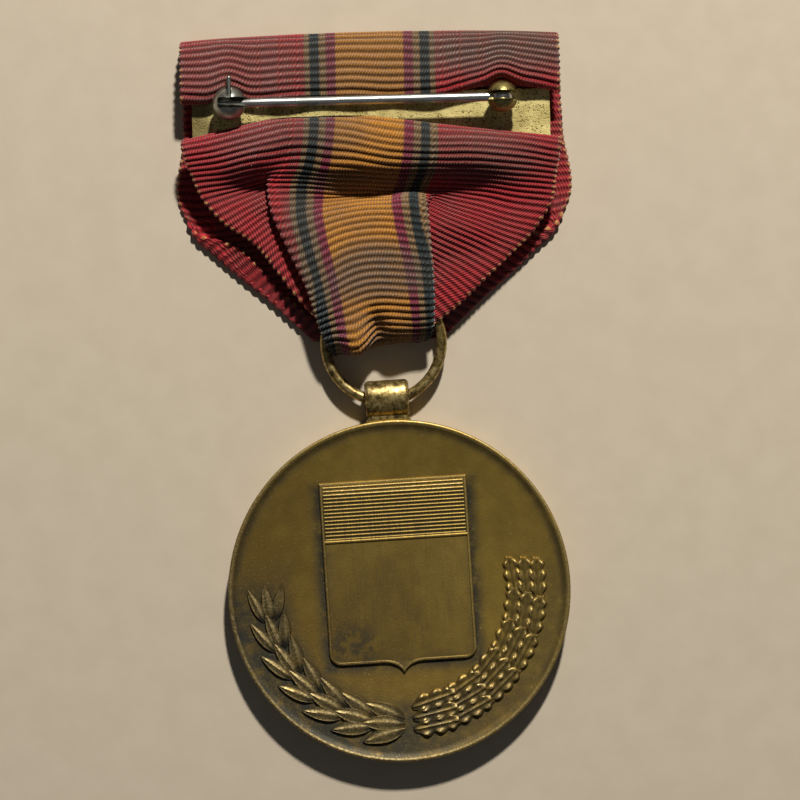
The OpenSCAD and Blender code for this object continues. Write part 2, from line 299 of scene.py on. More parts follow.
class Paint:
    """One material and the nodes that colour it."""

    def __init__(self, name: str) -> None:
        """Makes an empty node material."""
        self.material = bpy.data.materials.new(name)
        self.material.use_nodes = True
        self.tree = self.material.node_tree
        self.tree.nodes.clear()

    def feed(self, socket: bpy.types.NodeSocket, value: Fed) -> None:
        """Links a value or sets a constant."""
        if isinstance(value, Value):
            self.tree.links.new(value.socket, socket)
        elif isinstance(value, bpy.types.NodeSocket):
            self.tree.links.new(value, socket)
        else:
            socket.default_value = value

    def node(self, kind: str, settings: dict | None = None, inputs: dict | None = None) -> bpy.types.Node:
        """Adds a node.

        Args:
            kind: the node's type.
            settings: its properties, with a ramp's stops as (place, colour) pairs under "stops".
            inputs: what its sockets are linked or set to, by name or number.

        Returns:
            The node.
        """
        made = self.tree.nodes.new(kind)
        for name, value in (settings or {}).items():
            if name == "stops":
                self._set_stops(made.color_ramp, value)
            else:
                setattr(made, name, value)
        for name, value in (inputs or {}).items():
            self.feed(made.inputs[name], value)
        return made

    @staticmethod
    def _set_stops(ramp: bpy.types.ColorRamp, stops: Sequence[tuple[float, tuple]]) -> None:
        """Gives a ramp its stops."""
        while len(ramp.elements) > 1:
            ramp.elements.remove(ramp.elements[-1])
        for i, (place, colour) in enumerate(stops):
            element = ramp.elements[0] if i == 0 else ramp.elements.new(place)
            element.position = place
            element.color = (*colour, 1.0)

    def math(self, operation: str, *values: Value | float) -> Value:
        """Adds one Math node."""
        node = self.node("ShaderNodeMath", {"operation": operation}, dict(enumerate(values)))
        return Value(self, node.outputs[0])

    def place(self) -> bpy.types.NodeSocket:
        """The piece's own coordinates, in metres."""
        return self.node("ShaderNodeTexCoord").outputs["Object"]

    def axes(self, vector: bpy.types.NodeSocket) -> tuple[Value, Value, Value]:
        """The three parts of a vector."""
        node = self.node("ShaderNodeSeparateXYZ", None, {0: vector})
        return tuple(Value(self, out) for out in node.outputs)

    def noise(self, vector: bpy.types.NodeSocket, size_mm: float, detail: float = 3.0,
              rough: float = 0.55) -> Value:
        """Soft noise from 0 to 1 with blotches of about the given size."""
        node = self.node("ShaderNodeTexNoise", None, {
            "Vector": vector, "Scale": 1.0 / (size_mm * MM), "Detail": detail, "Roughness": rough})
        return Value(self, node.outputs["Factor"] if "Factor" in node.outputs else node.outputs[0])

    def specks(self, vector: bpy.types.NodeSocket, size_mm: float, share: float) -> Value:
        """Small round pits: 1 inside a pit and 0 elsewhere, covering roughly that share."""
        node = self.node("ShaderNodeTexVoronoi", None, {"Vector": vector, "Scale": 1.0 / (size_mm * MM)})
        return 1 - Value(self, node.outputs["Distance"]).above(share, 0.08)

    def ramp(self, value: Value, stops: Sequence[tuple[float, tuple]]) -> bpy.types.NodeSocket:
        """A colour that follows a value."""
        return self.node("ShaderNodeValToRGB", {"stops": stops}, {0: value}).outputs["Color"]

    def mix(self, share: Fed, first: Fed, second: Fed, blend: str = "MIX") -> bpy.types.NodeSocket:
        """Mixes two colours."""
        first, second = ((*c, 1.0) if isinstance(c, tuple) and len(c) == 3 else c for c in (first, second))
        node = self.node("ShaderNodeMix", {"data_type": "RGBA", "blend_type": blend},
                         {0: share, 6: first, 7: second})
        return node.outputs[2]

    def bump(self, height: Value, depth_mm: float, strength: float = 1.0) -> bpy.types.NodeSocket:
        """Small relief whose height of 1 stands the given depth."""
        node = self.node("ShaderNodeBump", None,
                         {"Height": height, "Strength": strength, "Distance": depth_mm * MM})
        return node.outputs["Normal"]

    def surface(self, inputs: dict[str, Fed]) -> bpy.types.Material:
        """Closes the material with one surface shader and its output."""
        shader = self.node("ShaderNodeBsdfPrincipled", None, inputs)
        self.node("ShaderNodeOutputMaterial", None, {"Surface": shader.outputs[0]})
        return self.material


# ---- finishes ----


@dataclass(frozen=True)
class BrassFinish:
    """Yellow brass sheet, brushed, pitted and spotted with age, and darkened at its left end by tarnish and
    painted shade.
    """

    bright: tuple = (0.90, 0.77, 0.33)
    dull: tuple = (0.42, 0.33, 0.11)
    # dark brown of the pits, also laid on the bar's left end as tarnish and painted shade
    spot_and_shade: tuple = (0.07, 0.05, 0.02)
    roughness: float = 0.42

    def make(self) -> bpy.types.Material:
        """Builds the material."""
        paint = Paint("aged_brass")
        place = paint.place()
        cloud = paint.noise(place, 2.2, 4.0).above(0.5, 0.2)
        grain = paint.noise(place, 0.20, 3.0, 0.7)
        x, _, _ = paint.axes(place)
        # the bar's left end, beside the catch, turns dark: partly tarnish, partly painted shade where the
        # catch and the pin shade it
        tarnish_and_shade = (1 - x.above(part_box("catch_ball")[0].x - 0.4 * MM, 0.5 * MM)) * (0.55 + grain * 0.5)
        pits = (paint.specks(place, 0.24, 0.22) * paint.noise(place, 1.1).above(0.46, 0.1)).most(
            paint.noise(place, 0.30, 3.0, 0.7).above(0.60, 0.06) * 0.7)
        colour = paint.mix(cloud * 0.7 + grain * 0.25, self.bright, self.dull)
        colour = paint.mix(pits.most(tarnish_and_shade * 0.8), colour, self.spot_and_shade)
        return paint.surface({
            "Base Color": colour,
            "Metallic": 1.0,
            "Roughness": self.roughness + grain * 0.22 + pits * 0.3,
            "Normal": paint.bump(grain * 0.8 - pits, 0.035, 0.6)})


@dataclass(frozen=True)
class NickelFinish:
    """Worn nickel plate: bright where it is rubbed, grey-green in the lows."""

    bright: tuple = (0.66, 0.66, 0.62)
    dull: tuple = (0.20, 0.21, 0.17)
    roughness: float = 0.20

    def make(self) -> bpy.types.Material:
        """Builds the material."""
        paint = Paint("worn_nickel")
        place = paint.place()
        cloud = paint.noise(place, 1.6, 5.0).above(0.52, 0.16)
        scratches = paint.noise(place, 0.12, 2.0)
        return paint.surface({
            "Base Color": paint.mix(cloud * 0.75, self.bright, self.dull),
            "Metallic": 1.0,
            "Roughness": self.roughness + cloud * 0.18 + scratches * 0.12,
            "Normal": paint.bump(scratches, 0.012, 0.5)})


@dataclass(frozen=True)
class BronzeFinish:
    """Struck bronze: olive-brown patina, rubbed golden on the high relief, which also stands as painted
    highlight, and dark in the corners.
    """

    # the gold of the rubbed high relief, also serving as painted highlight
    gold: tuple = (0.85, 0.68, 0.33)
    olive: tuple = (0.43, 0.290, 0.055)
    umber: tuple = (0.235, 0.148, 0.032)
    dark: tuple = (0.038, 0.040, 0.032)
    # the ring and the loop, from their dirt to their rubbed brass
    ware_stops: tuple = ((0.34, (0.06, 0.045, 0.02)), (0.46, (0.25, 0.17, 0.05)),
                         (0.58, (0.52, 0.38, 0.14)), (0.70, (0.70, 0.56, 0.30)))
    roughness: float = 0.40

    def places(self, paint: Paint, disc: "MedalDisc") -> dict[str, Value]:
        """Finds where a point lies on the disc's relief.

        Args:
            paint: the material being made.
            disc: the disc whose relief it follows.

        Returns:
            dx and dy in the disc's own frame, and for each part a value that is 1 on it and 0 off it.
        """
        x, y, z = paint.axes(paint.place())
        ax, ay = x - disc.centre.x, y - disc.centre.y
        dx = ax * math.cos(disc.turn) + ay * math.sin(disc.turn)
        dy = ay * math.cos(disc.turn) - ax * math.sin(disc.turn)
        radius = (dx * dx + dy * dy) ** 0.5
        on_disc = 1 - radius.above(disc.radius + 0.1 * MM, 0.1 * MM)
        back = z.above(disc.field_z - 0.2 * MM, 0.05 * MM)
        high = z.above(disc.relief_z - 0.06 * MM, 0.07 * MM) * on_disc
        above_shield = abs(dy - disc.shield_mid) - disc.shield_h / 2 + 1.0 * MM
        beside = (abs(dx) - disc.shield_w / 2).most(above_shield)
        inside = 1 - beside.above(-0.2 * MM, 0.1 * MM)
        ruled = inside * dy.above((disc.shield_top - disc.band_height) * MM, 0.02 * MM)
        low_left = (1 - dy.above(1.5 * MM, 3 * MM)) * (1 - dx.above(4 * MM, 9 * MM) * 0.5)
        outer = radius.above(disc.radius - 0.42 * MM, 0.1 * MM)
        from_corner = (dx + 4.6 * MM) ** 2 + (dy + 5.0 * MM) ** 2
        return {
            "dx": dx, "dy": dy, "on_disc": on_disc, "high": high, "inside": inside,
            "halo": (1 - abs(beside).above(0.7 * MM, 0.75 * MM)) * back * (1 - high) * on_disc,
            "wreath": radius.above(10.3 * MM, 1.2 * MM) * low_left * back * (1 - high * 0.45),
            "slope": radius.above(disc.radius - 1.1 * MM, 0.35 * MM) * (1 - outer),
            "grooves": ruled * (1 - z.above(disc.field_z + 0.27 * MM, 0.03 * MM)),
            "plain": inside * (1 - ruled),
            "corner": (1 - from_corner.above(6e-6, 6e-6)) * inside,
            "lee": (dx * -0.7 - dy * 0.5).above(1 * MM, 9 * MM)}

    @staticmethod
    def shade(at: dict[str, Value], grime: Value, streak: Value) -> Value:
        """How dark the patina lies: beside the shield, round the wreath, in the grooves and streaks."""
        shade = (at["halo"] * 0.95).most(at["wreath"] * 0.95).most(at["slope"] * 0.6)
        shade = (shade * grime.above(0.34, 0.26)).least(1.0)
        shade = shade.most(at["grooves"] * 0.90).most(at["plain"] * 0.10)
        shade = shade.most(at["corner"] * 0.75 * grime.above(0.45, 0.1))
        return shade.most(at["inside"] * streak.above(0.56, 0.10) * 0.30)

    def make(self, disc: "MedalDisc") -> bpy.types.Material:
        """Builds the material, with the wear and the painted highlight that follow the disc's relief."""
        paint = Paint("patinated_bronze")
        at = self.places(paint, disc)
        place = paint.place()
        blotch = paint.noise(place, 5.0, 4.0)
        grime = paint.noise(place, 1.3, 5.0, 0.65)
        speck = paint.noise(place, 0.20, 3.0, 0.7)
        brushed = paint.node("ShaderNodeCombineXYZ", None, {0: at["dx"], 1: at["dy"] * 0.06}).outputs[0]
        streak = paint.noise(brushed, 0.22, 3.0, 0.6)
        mottled = blotch.above(0.53, 0.24) * 0.40 + grime.above(0.5, 0.2) * 0.25
        mottled = mottled + speck.above(0.5, 0.2) * 0.25
        lee = at["lee"] * (0.5 + blotch * 0.8)
        colour = paint.mix((mottled + lee * 0.75).least(1.0), self.olive, self.umber)
        shade = self.shade(at, grime, streak)
        colour = paint.mix(shade * at["on_disc"], colour, self.dark)
        # the high relief turns gold: partly rubbed wear, partly painted highlight
        wear_and_painted_light = at["high"] * (0.05 + speck.above(0.54, 0.12) * 0.34) * (1 - at["inside"] * 0.85)
        rubbed_and_highlight = wear_and_painted_light.most(speck.above(0.66, 0.05) * 0.25) * at["on_disc"]
        ware = 1 - at["on_disc"]
        mottle = paint.noise(place, 0.55, 5.0, 0.7)
        colour = paint.mix(ware, colour, paint.ramp(mottle, self.ware_stops))
        colour = paint.mix(rubbed_and_highlight, colour, self.gold)
        colour = paint.mix(speck.above(0.31, 0.05) * 0.6 + 0.4, self.dark, colour)
        return paint.surface({
            "Base Color": colour,
            "Metallic": 0.80,
            "Roughness": self.roughness + speck * 0.14 + shade * 0.10 - rubbed_and_highlight * 0.14 - ware * 0.12,
            "Normal": paint.bump(speck * 0.6 + grime * 0.4 + streak * at["inside"] * 0.6, 0.045, 0.5)})


@dataclass(frozen=True)
class RibbonFinish:
    """Ribbed silk ribbon, woven in stripes, with picot loops down both edges, old grime, painted shade in the
    rib grooves and between the threads, and dust and painted sheen on the rib crests.
    """

    gold: tuple = (0.85, 0.34, 0.025)
    crimson: tuple = (0.66, 0.018, 0.028)
    red: tuple = (0.36, 0.018, 0.06)
    cream: tuple = (0.40, 0.23, 0.085)
    ink: tuple = (0.014, 0.032, 0.032)
    # near-black painted shade for the grooves between the ribs
    painted_groove_shade: tuple = (0.016, 0.010, 0.007)
    grime: tuple = (0.175, 0.120, 0.080)
    # grey-tan of the dust on the rib crests, which also serves as painted sheen
    dust_and_sheen: tuple = (0.36, 0.30, 0.26)
    picot: tuple = (0.55, 0.30, 0.10)
    thread_pitch: float = 0.26
    # old stains: (distance along, across, reach along, reach across, strength)
    stains: tuple = (
        (58.5, 0.0, 5.0, 9.0, 0.36), (58.5, -12.0, 5.0, 9.0, 0.58), (57.0, 12.0, 4.5, 9.0, 0.85),
        (2.0, -7.0, 3.0, 9.0, 0.45), (17.2, 0.5, 3.3, 6.0, 0.75), (12.5, -5.5, 6.0, 2.2, 0.50),
        (3.0, 10.0, 4.0, 8.0, 0.55), (7.0, -1.0, 2.2, 6.0, 0.55), (10.5, -12.5, 3.0, 3.0, 0.30),
        (24.5, 0.0, 2.0, 9.0, 0.45))

    def stops(self, ribbon: "Ribbon") -> list[tuple[float, tuple]]:
        """The stripes from the middle to one edge, as a ramp's stops with soft woven joins."""
        soft = 0.004
        bands = [self.gold, self.red, self.cream, self.ink, self.cream, self.crimson]
        stops = [(0.0, bands[0])]
        for edge, before, after in zip(ribbon.stripe_edges, bands, bands[1:]):
            stops += [(edge / ribbon.half - soft, before), (edge / ribbon.half + soft, after)]
        return stops

    def make(self, ribbon: "Ribbon") -> bpy.types.Material:
        """Builds the material on the ribbon's own map."""
        paint = Paint("striped_ribbon")
        uv = paint.node("ShaderNodeUVMap", {"uv_map": "ribbon_map"}).outputs[0]
        across_share, along_share, _ = paint.axes(uv)
        across = (across_share - 0.5) * (2 * ribbon.half)
        along = along_share * ribbon.length + ribbon.tuck_start
        place = paint.place()
        weave = paint.node("ShaderNodeCombineXYZ", None, {0: across * MM, 1: along * (0.4 * MM)}).outputs[0]
        fibre = paint.noise(weave, 0.10, 2.0, 0.7)
        blotch = paint.noise(place, 4.5, 4.0, 0.6)
        dust_and_sheen = paint.noise(place, 0.9, 5.0, 0.7)
        jitter = (fibre - 0.5) * 0.012
        colour = paint.ramp(abs(across) / ribbon.half + jitter, self.stops(ribbon))
        rib = ((along - ribbon.tuck_start) * (1 / ribbon.rib_pitch) - 0.25).wave(1.0)
        thread = ((across + along * 0.45) * (1 / self.thread_pitch) + (fibre - 0.5) * 0.7).wave(1.0)
        soiled = blotch.above(0.56, 0.14) * 0.25
        for centre, side, reach, width, strength in self.stains:
            from_middle = ((along - centre) * (1 / reach)) ** 2 + ((across - side) * (1 / width)) ** 2
            stain = (1 - from_middle.above(0.6, 0.5)) * strength
            soiled = soiled.most(stain * (0.55 + 0.9 * (blotch - 0.05)))
        ink_start, ink_end = ribbon.stripe_edges[2:4]
        inked = abs(across).above(ink_start, 0.06) * (1 - abs(across).above(ink_end, 0.06))
        soiled = soiled * (1 - inked * 0.65)
        colour = paint.mix(soiled, colour, self.grime)
        # the rib crests turn grey-tan: partly dust, partly painted sheen
        wear_and_painted_light = (dust_and_sheen * 0.7 + thread * 0.3).above(0.50, 0.18) * rib.above(0.82, 0.16)
        colour = paint.mix(wear_and_painted_light * (0.20 + soiled * 0.8) * (1 - inked * 0.4), colour, self.dust_and_sheen)
        # darkens the gaps between the woven threads as painted shade, so each thread's top reads as a painted
        # highlight; the fibre noise adds uneven tone
        colour = paint.mix(((1 - thread) * 0.75 + fibre * 0.6) * 0.52, colour, (0.0, 0.0, 0.0))
        # painted shade in the grooves between the ribs
        shaded = (1 - rib.above(0.30, 0.32)) * (0.34 + dust_and_sheen * 0.55)
        colour = paint.mix(shaded, colour, self.painted_groove_shade)
        edge = abs(across).above(ribbon.half - 0.16, 0.05) * rib.above(0.70, 0.12)
        edge = edge * paint.noise(place, 1.2, 1.0).above(0.46, 0.10)
        colour = paint.mix(edge * 0.85, colour, self.picot)
        return paint.surface({
            "Base Color": colour,
            "Roughness": 0.72 + fibre * 0.2,
            "Specular IOR Level": 0.35,
            "Sheen Weight": 0.25,
            "Sheen Roughness": 0.4,
            "Normal": paint.bump(thread * 1.0 + fibre * 0.7, 0.09, 1.0)})


@dataclass(frozen=True)
class ThreadFinish:
    """Undyed sewing thread with a twist."""

    colour: tuple = (0.55, 0.48, 0.34)
    shadow: tuple = (0.2, 0.16, 0.1)

    def make(self) -> bpy.types.Material:
        """Builds the material."""
        paint = Paint("sewing_thread")
        place = paint.place()
        fibre = paint.noise(place, 0.08, 3.0)
        return paint.surface({
            "Base Color": paint.mix(fibre * 0.6, self.colour, self.shadow),
            "Roughness": 0.8,
            "Normal": paint.bump(fibre, 0.02)})


# ---- ribbon ----

Knots = tuple[tuple[float, float, float, float], ...]
IN_SLOT = 0.885          # share of its width that the ribbon keeps where the bar's slots pinch it


@dataclass
class Ribbon:
    """The folded ribbon, one closed ribbed sheet from the lower tucked end round to the upper one.

    A place along the ribbon is its distance in millimetres from the roll over the bottom rail. The guides
    below say where a few of its lengthwise threads run, as (distance, x, y above the bar's lower edge, z).
    """

    half: float = 17.45
    stripe_edges: tuple = (3.15, 4.02, 4.65, 5.60, 6.15)
    rib_pitch: float = 0.62
    rows_per_rib: int = 5
    rib_depth: float = 0.22
    thickness: float = 0.32
    # how far the selvedge's picot loops reach out, and how much more on a rib
    picot_reach: float = 0.10
    picot_wave: float = 0.09
    # the least height over the table, and how sharply the sheet flattens onto it
    table_gap: float = 0.02
    table_firmness: float = 12.0
    tuck_start: float = -7.5
    tuck_end: float = 66.95
    # the flap's upper edge, its depth, and how far it climbs each fitting: (node, reach, rise)
    flap_top: float = 12.4
    flap_depth: float = 5.45
    lifts: tuple = (("catch_ball", 1.7, 0.9), ("hinge_block", 6.5, 1.0), ("hinge_block", 1.8, 0.8))

    middle: Knots = (
        (0, -0.2, 4.9, 3.0), (1, -0.2, 4.65, 3.95), (2.5, -0.3, 3.3, 4.75), (4.2, -0.5, 1.6, 4.85),
        (5.2, -0.7, 0.65, 4.6), (6.2, -0.85, 0.0, 3.85), (7.4, -1.05, -0.75, 2.9),
        (8.6, -1.25, -1.5, 1.95), (9.3, -1.35, -2.1, 1.55), (10.2, -1.45, -2.65, 2.1),
        (11.6, -1.5, -3.55, 3.3), (13.4, -1.3, -5.2, 4.0), (16.4, -0.7, -8.4, 4.4),
        (20.3, 0.1, -12.3, 4.5), (21.9, 0.4, -13.9, 4.4), (22.9, 0.5, -14.75, 4.05),
        (23.8, 0.5, -15.35, 3.3), (24.7, 0.5, -15.7, 2.35), (25.6, 0.5, -15.85, 1.4),
        (26.4, 0.5, -15.6, 0.65), (27.3, 0.5, -14.8, 0.32), (40.8, 0.2, -1.2, 0.3))
    left_edge: Knots = (
        (0, -7.8, 4.95, 3.0), (1, -7.8, 4.7, 3.95), (2.5, -7.9, 3.4, 4.45), (4.6, -8.4, 1.2, 3.8),
        (7.6, -9.6, -1.0, 3.0), (9.7, -9.6, -3.0, 3.4), (13.4, -7.9, -7.3, 3.6), (16.4, -6.4, -10.6, 3.7),
        (20.5, -5.3, -14.3, 3.6), (22.2, -4.8, -15.7, 3.2), (23.4, -4.4, -16.4, 2.5),
        (24.6, -4.2, -16.75, 1.5), (25.6, -4.3, -16.5, 0.65), (26.6, -4.6, -15.6, 0.3),
        (28, -5.2, -14.1, 0.25), (33, -6.5, -9.2, 0.25), (40.8, -7.3, -1.5, 0.25))
    left_fold: Knots = (
        (0, -9.6, 4.8, 3.0), (1, -9.6, 4.55, 3.9), (2.5, -9.7, 3.1, 4.3), (4.6, -10.2, 1.1, 4.0),
        (5.8, -10.2, 0.25, 3.2), (7.0, -9.9, -0.45, 2.0), (8.2, -9.1, -0.9, 1.5),
        (9.7, -7.7, -1.25, 1.75), (13.4, -5.7, -2.7, 2.5), (16.4, -4.5, -4.7, 2.6),
        (20.5, -2.0, -9.2, 2.65), (22.2, -1.0, -12.2, 2.6), (24.6, 0.3, -15.5, 1.6))
    left_selvedge: Knots = (
        (0, -17.45, 3.1, 3.0), (1, -17.5, 2.8, 3.5), (2.5, -17.3, 1.7, 3.5), (4.6, -16.7, 0.2, 3.1),
        (7.6, -15.6, -2.3, 2.6), (9.7, -14.1, -4.1, 2.4), (13.4, -11.0, -6.4, 2.3),
        (16.4, -9.2, -8.7, 2.3), (20.5, -6.0, -12.8, 2.35), (22.2, -4.4, -14.2, 2.2),
        (24.6, -2.6, -15.7, 1.35))
    right_edge: Knots = (
        (0, 6.4, 4.0, 3.0), (1, 6.4, 3.75, 3.95), (2.5, 6.4, 2.7, 4.55), (4.4, 6.3, 1.0, 4.4),
        (5.4, 6.1, 0.25, 3.85), (6.6, 5.8, -0.5, 2.95), (7.8, 5.4, -1.2, 2.0), (8.7, 5.1, -1.85, 1.6),
        (9.6, 5.0, -2.5, 2.1), (10.6, 4.95, -3.15, 2.9), (11.8, 5.0, -4.1, 3.5), (13.4, 5.1, -5.6, 3.85),
        (16.4, 5.35, -8.6, 3.95), (20.5, 5.4, -12.6, 4.0), (22.2, 5.3, -14.1, 3.65),
        (23.4, 5.2, -14.9, 2.9), (24.4, 5.0, -15.3, 2.0), (25.3, 4.9, -15.45, 1.15),
        (26.2, 5.2, -15.1, 0.55), (28, 6.2, -13.7, 0.3), (33, 7.2, -9.2, 0.3), (40.8, 7.9, -1.5, 0.3))
    right_fold: Knots = (
        (0, 8.5, 3.7, 3.0), (1, 8.5, 3.45, 3.9), (2.5, 8.5, 2.4, 4.45), (4.6, 8.4, 0.6, 4.0),
        (5.8, 8.1, -0.15, 3.1), (7.0, 7.7, -0.9, 2.15), (8.2, 7.0, -1.6, 1.55), (9.7, 5.6, -2.3, 1.5),
        (13.4, 4.0, -3.8, 2.5), (16.4, 2.8, -5.9, 2.6), (20.5, 1.8, -8.6, 2.65), (22.2, 1.5, -12.2, 2.6),
        (24.6, 1.2, -15.5, 1.6))
    right_selvedge: Knots = (
        (0, 17.4, 2.6, 3.0), (1, 17.4, 2.3, 3.4), (2.5, 17.2, 1.1, 3.3), (4.6, 16.9, -0.6, 2.9),
        (7.6, 16.4, -3.2, 2.6), (9.7, 15.0, -5.4, 2.5), (13.4, 12.3, -8.1, 2.4), (16.4, 10.0, -10.2, 2.4),
        (20.5, 6.9, -13.0, 2.35), (22.2, 5.2, -14.2, 2.2), (24.6, 3.4, -15.6, 1.35))
    # the front layer's outer fold and its curled selvedge, for the left side; the right one mirrors them
    front_fold: Knots = (
        (26.6, -5.8, -15.4, 0.45), (28, -7.3, -14.2, 0.4), (30.4, -9.8, -11.9, 0.4),
        (33, -12.8, -9.4, 0.45), (35.6, -15.5, -7.0, 0.45), (37, -16.8, -5.8, 0.4),
        (38.6, -16.9, -4.0, 0.3), (46, -11.0, 4.0, 0.25))
    front_selvedge: Knots = (
        (26.6, -4.0, -15.0, 0.7), (28, -5.9, -13.5, 0.7), (30.4, -8.5, -11.1, 0.75),
        (33, -11.1, -8.2, 0.85), (35.6, -13.7, -6.1, 0.9), (37, -16.3, -5.4, 0.7),
        (38.6, -17.5, -3.7, 0.35), (46, -17.45, 4.0, 0.25))
    # how far from the middle thread each guided thread lies: (distance along, left, right)
    edge_threads: tuple = (
        (0, 7.7, 6.4), (7.6, 8.0, 6.4), (9.7, 7.9, 6.3), (13.4, 6.9, 6.1), (16.4, 6.3, 5.7),
        (20.5, 5.7, 5.5), (24.6, 5.2, 5.2), (28, 6.0, 6.0), (33, 7.0, 7.0), (40.8, 7.5, 7.5))
    fold_threads: tuple = (
        (0, 9.5, 8.5), (7.6, 9.5, 8.4), (9.7, 10.2, 7.8), (13.4, 10.95, 8.1), (16.4, 11.3, 9.05),
        (20.5, 12.0, 10.75), (24.6, 12.0, 12.0), (26.6, 8.5, 8.5), (28, 9.5, 9.5), (30.4, 12.5, 12.5),
        (33, 14.6, 14.6), (35.6, 15.9, 15.9), (37, 16.4, 16.4), (38.6, 16.7, 16.7), (46, 11.0, 11.0))
    # the two ends behind the bar and the turn over its top: (distance, y, z, share of the width)
    lower_end: Knots = (
        (-7.5, 4.9, 0.74, IN_SLOT), (-5.1, 2.5, 0.74, IN_SLOT), (-4.4, 1.9, 1.2, IN_SLOT),
        (-3.4, 1.9, 2.1, IN_SLOT), (-2.9, 2.3, 2.42, 0.93))
    over_top: Knots = (
        (46, 4.0, 0.25, 1), (53.5, 11.6, 0.25, 1), (54.1, 12.1, 0.5, 1), (54.8, 12.35, 1.15, 1),
        (55.5, 12.3, 1.9, 1), (56.3, 11.8, 2.6, 1), (58.1, 9.9, 3.3, 1), (60.4, 7.4, 3.55, 1),
        (61.0, 6.75, 3.4, 1), (61.5, 6.4, 2.95, 1), (62.0, 6.55, 2.5, 1), (62.8, 7.45, 2.42, 0.95),
        (63.3, 7.88, 2.1, IN_SLOT), (64.2, 7.88, 1.2, IN_SLOT), (64.95, 7.3, 0.74, IN_SLOT),
        (66.95, 5.3, 0.74, IN_SLOT))
    # small crumples: (distance along, across, reach along, reach across, rise, slide down)
    crumples: tuple = (
        (23.0, -2.5, 2.0, 0.8, 1.5, 1.5), (22.6, -0.5, 1.6, 0.8, -1.7, -0.6),
        (22.6, 3.2, 1.6, 1.3, -0.5, 0.0), (10.7, 4.8, 1.3, 0.9, 0.95, -0.6),
        (13.5, 1.2, 1.8, 1.6, -0.25, 0.0), (3.0, -9.5, 1.6, 1.8, 0.35, 0.0),
        (12.0, 12.5, 2.2, 2.0, 0.30, 0.0), (15.5, 14.0, 2.4, 1.6, -0.25, 0.0),
        (3.2, 11.0, 1.8, 2.2, 0.30, 0.2), (10.5, -12.8, 1.8, 1.5, 0.45, 0.0),
        (14.0, -13.5, 2.4, 1.4, -0.30, 0.0), (6.5, -13.5, 2.0, 2.0, -0.35, 0.0),
        (5.5, -3.5, 1.4, 1.2, -0.35, 0.2))
    sheet: bpy.types.Object | None = field(default=None, init=False)

    @property
    def length(self) -> float:
        """Length of the ribbon along its middle thread."""
        return self.tuck_end - self.tuck_start

    @property
    def origin(self) -> Vector:
        """The middle of the bar's lower edge on the table, in millimetres."""
        low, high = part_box("bar_plate")
        return Vector(((low.x + high.x) / 2, low.y, 0.0)) / MM

    @staticmethod
    def curve(knots: np.ndarray, values: np.ndarray, at: np.ndarray) -> np.ndarray:
        """A smooth curve through values at the knots.

        Args:
            knots: rising places, one for each value.
            values: numbers or points, one row for each knot.
            at: the places wanted.

        Returns:
            One row for each wanted place.
        """
        gap = np.diff(knots)[:, None]
        slope = np.diff(values, axis=0) / gap
        inner = (slope[:-1] * gap[1:] + slope[1:] * gap[:-1]) / (gap[:-1] + gap[1:])
        tangent = np.concatenate([slope[:1], inner, slope[-1:]])
        i = np.clip(np.searchsorted(knots, at, side="right") - 1, 0, len(knots) - 2)
        h = gap[i]
        t = ((at - knots[i])[:, None]) / h
        return ((2 * t**3 - 3 * t**2 + 1) * values[i] + (t**3 - 2 * t**2 + t) * h * tangent[i]
                + (3 * t**2 - 2 * t**3) * values[i + 1] + (t**3 - t**2) * h * tangent[i + 1])

    def tucks(self, side: float, roll_y: float) -> tuple[list, list]:
        """Knots before and after the drape of a thread that lies side millimetres from the middle one."""
        start = [(v, side * share, y, z) for v, y, z, share in self.lower_end]
        start.append((-0.9, side, roll_y - 0.7, 2.42))
        end = [(v, side * share, y, z) for v, y, z, share in self.over_top]
        return start, end

    def thread(self, back: Knots, front: Knots, side: float, end_side: float, at: np.ndarray) -> np.ndarray:
        """Runs one guided thread through the whole ribbon.

        Args:
            back: its knots from the roll down to the fold.
            front: its knots up the front layer.
            side: how far from the middle thread it starts.
            end_side: how far from the middle thread it ends.
            at: places along the ribbon.

        Returns:
            The thread's points at those places.
        """
        start, _ = self.tucks(side, back[0][2])
        _, end = self.tucks(end_side, back[0][2])
        last = front[-1][0] if front else back[-1][0]
        rows = np.array([*start, *back, *front, *(k for k in end if k[0] > last + 0.5)], float)
        return self.curve(rows[:, 0], rows[:, 1:], at)

    @staticmethod
    def mirrored(knots: Knots, shift: float = 0.25) -> Knots:
        """The same knots on the right side, where the front layer lies a little further out."""
        return tuple((v, -x + shift, y, z) for v, x, y, z in knots)

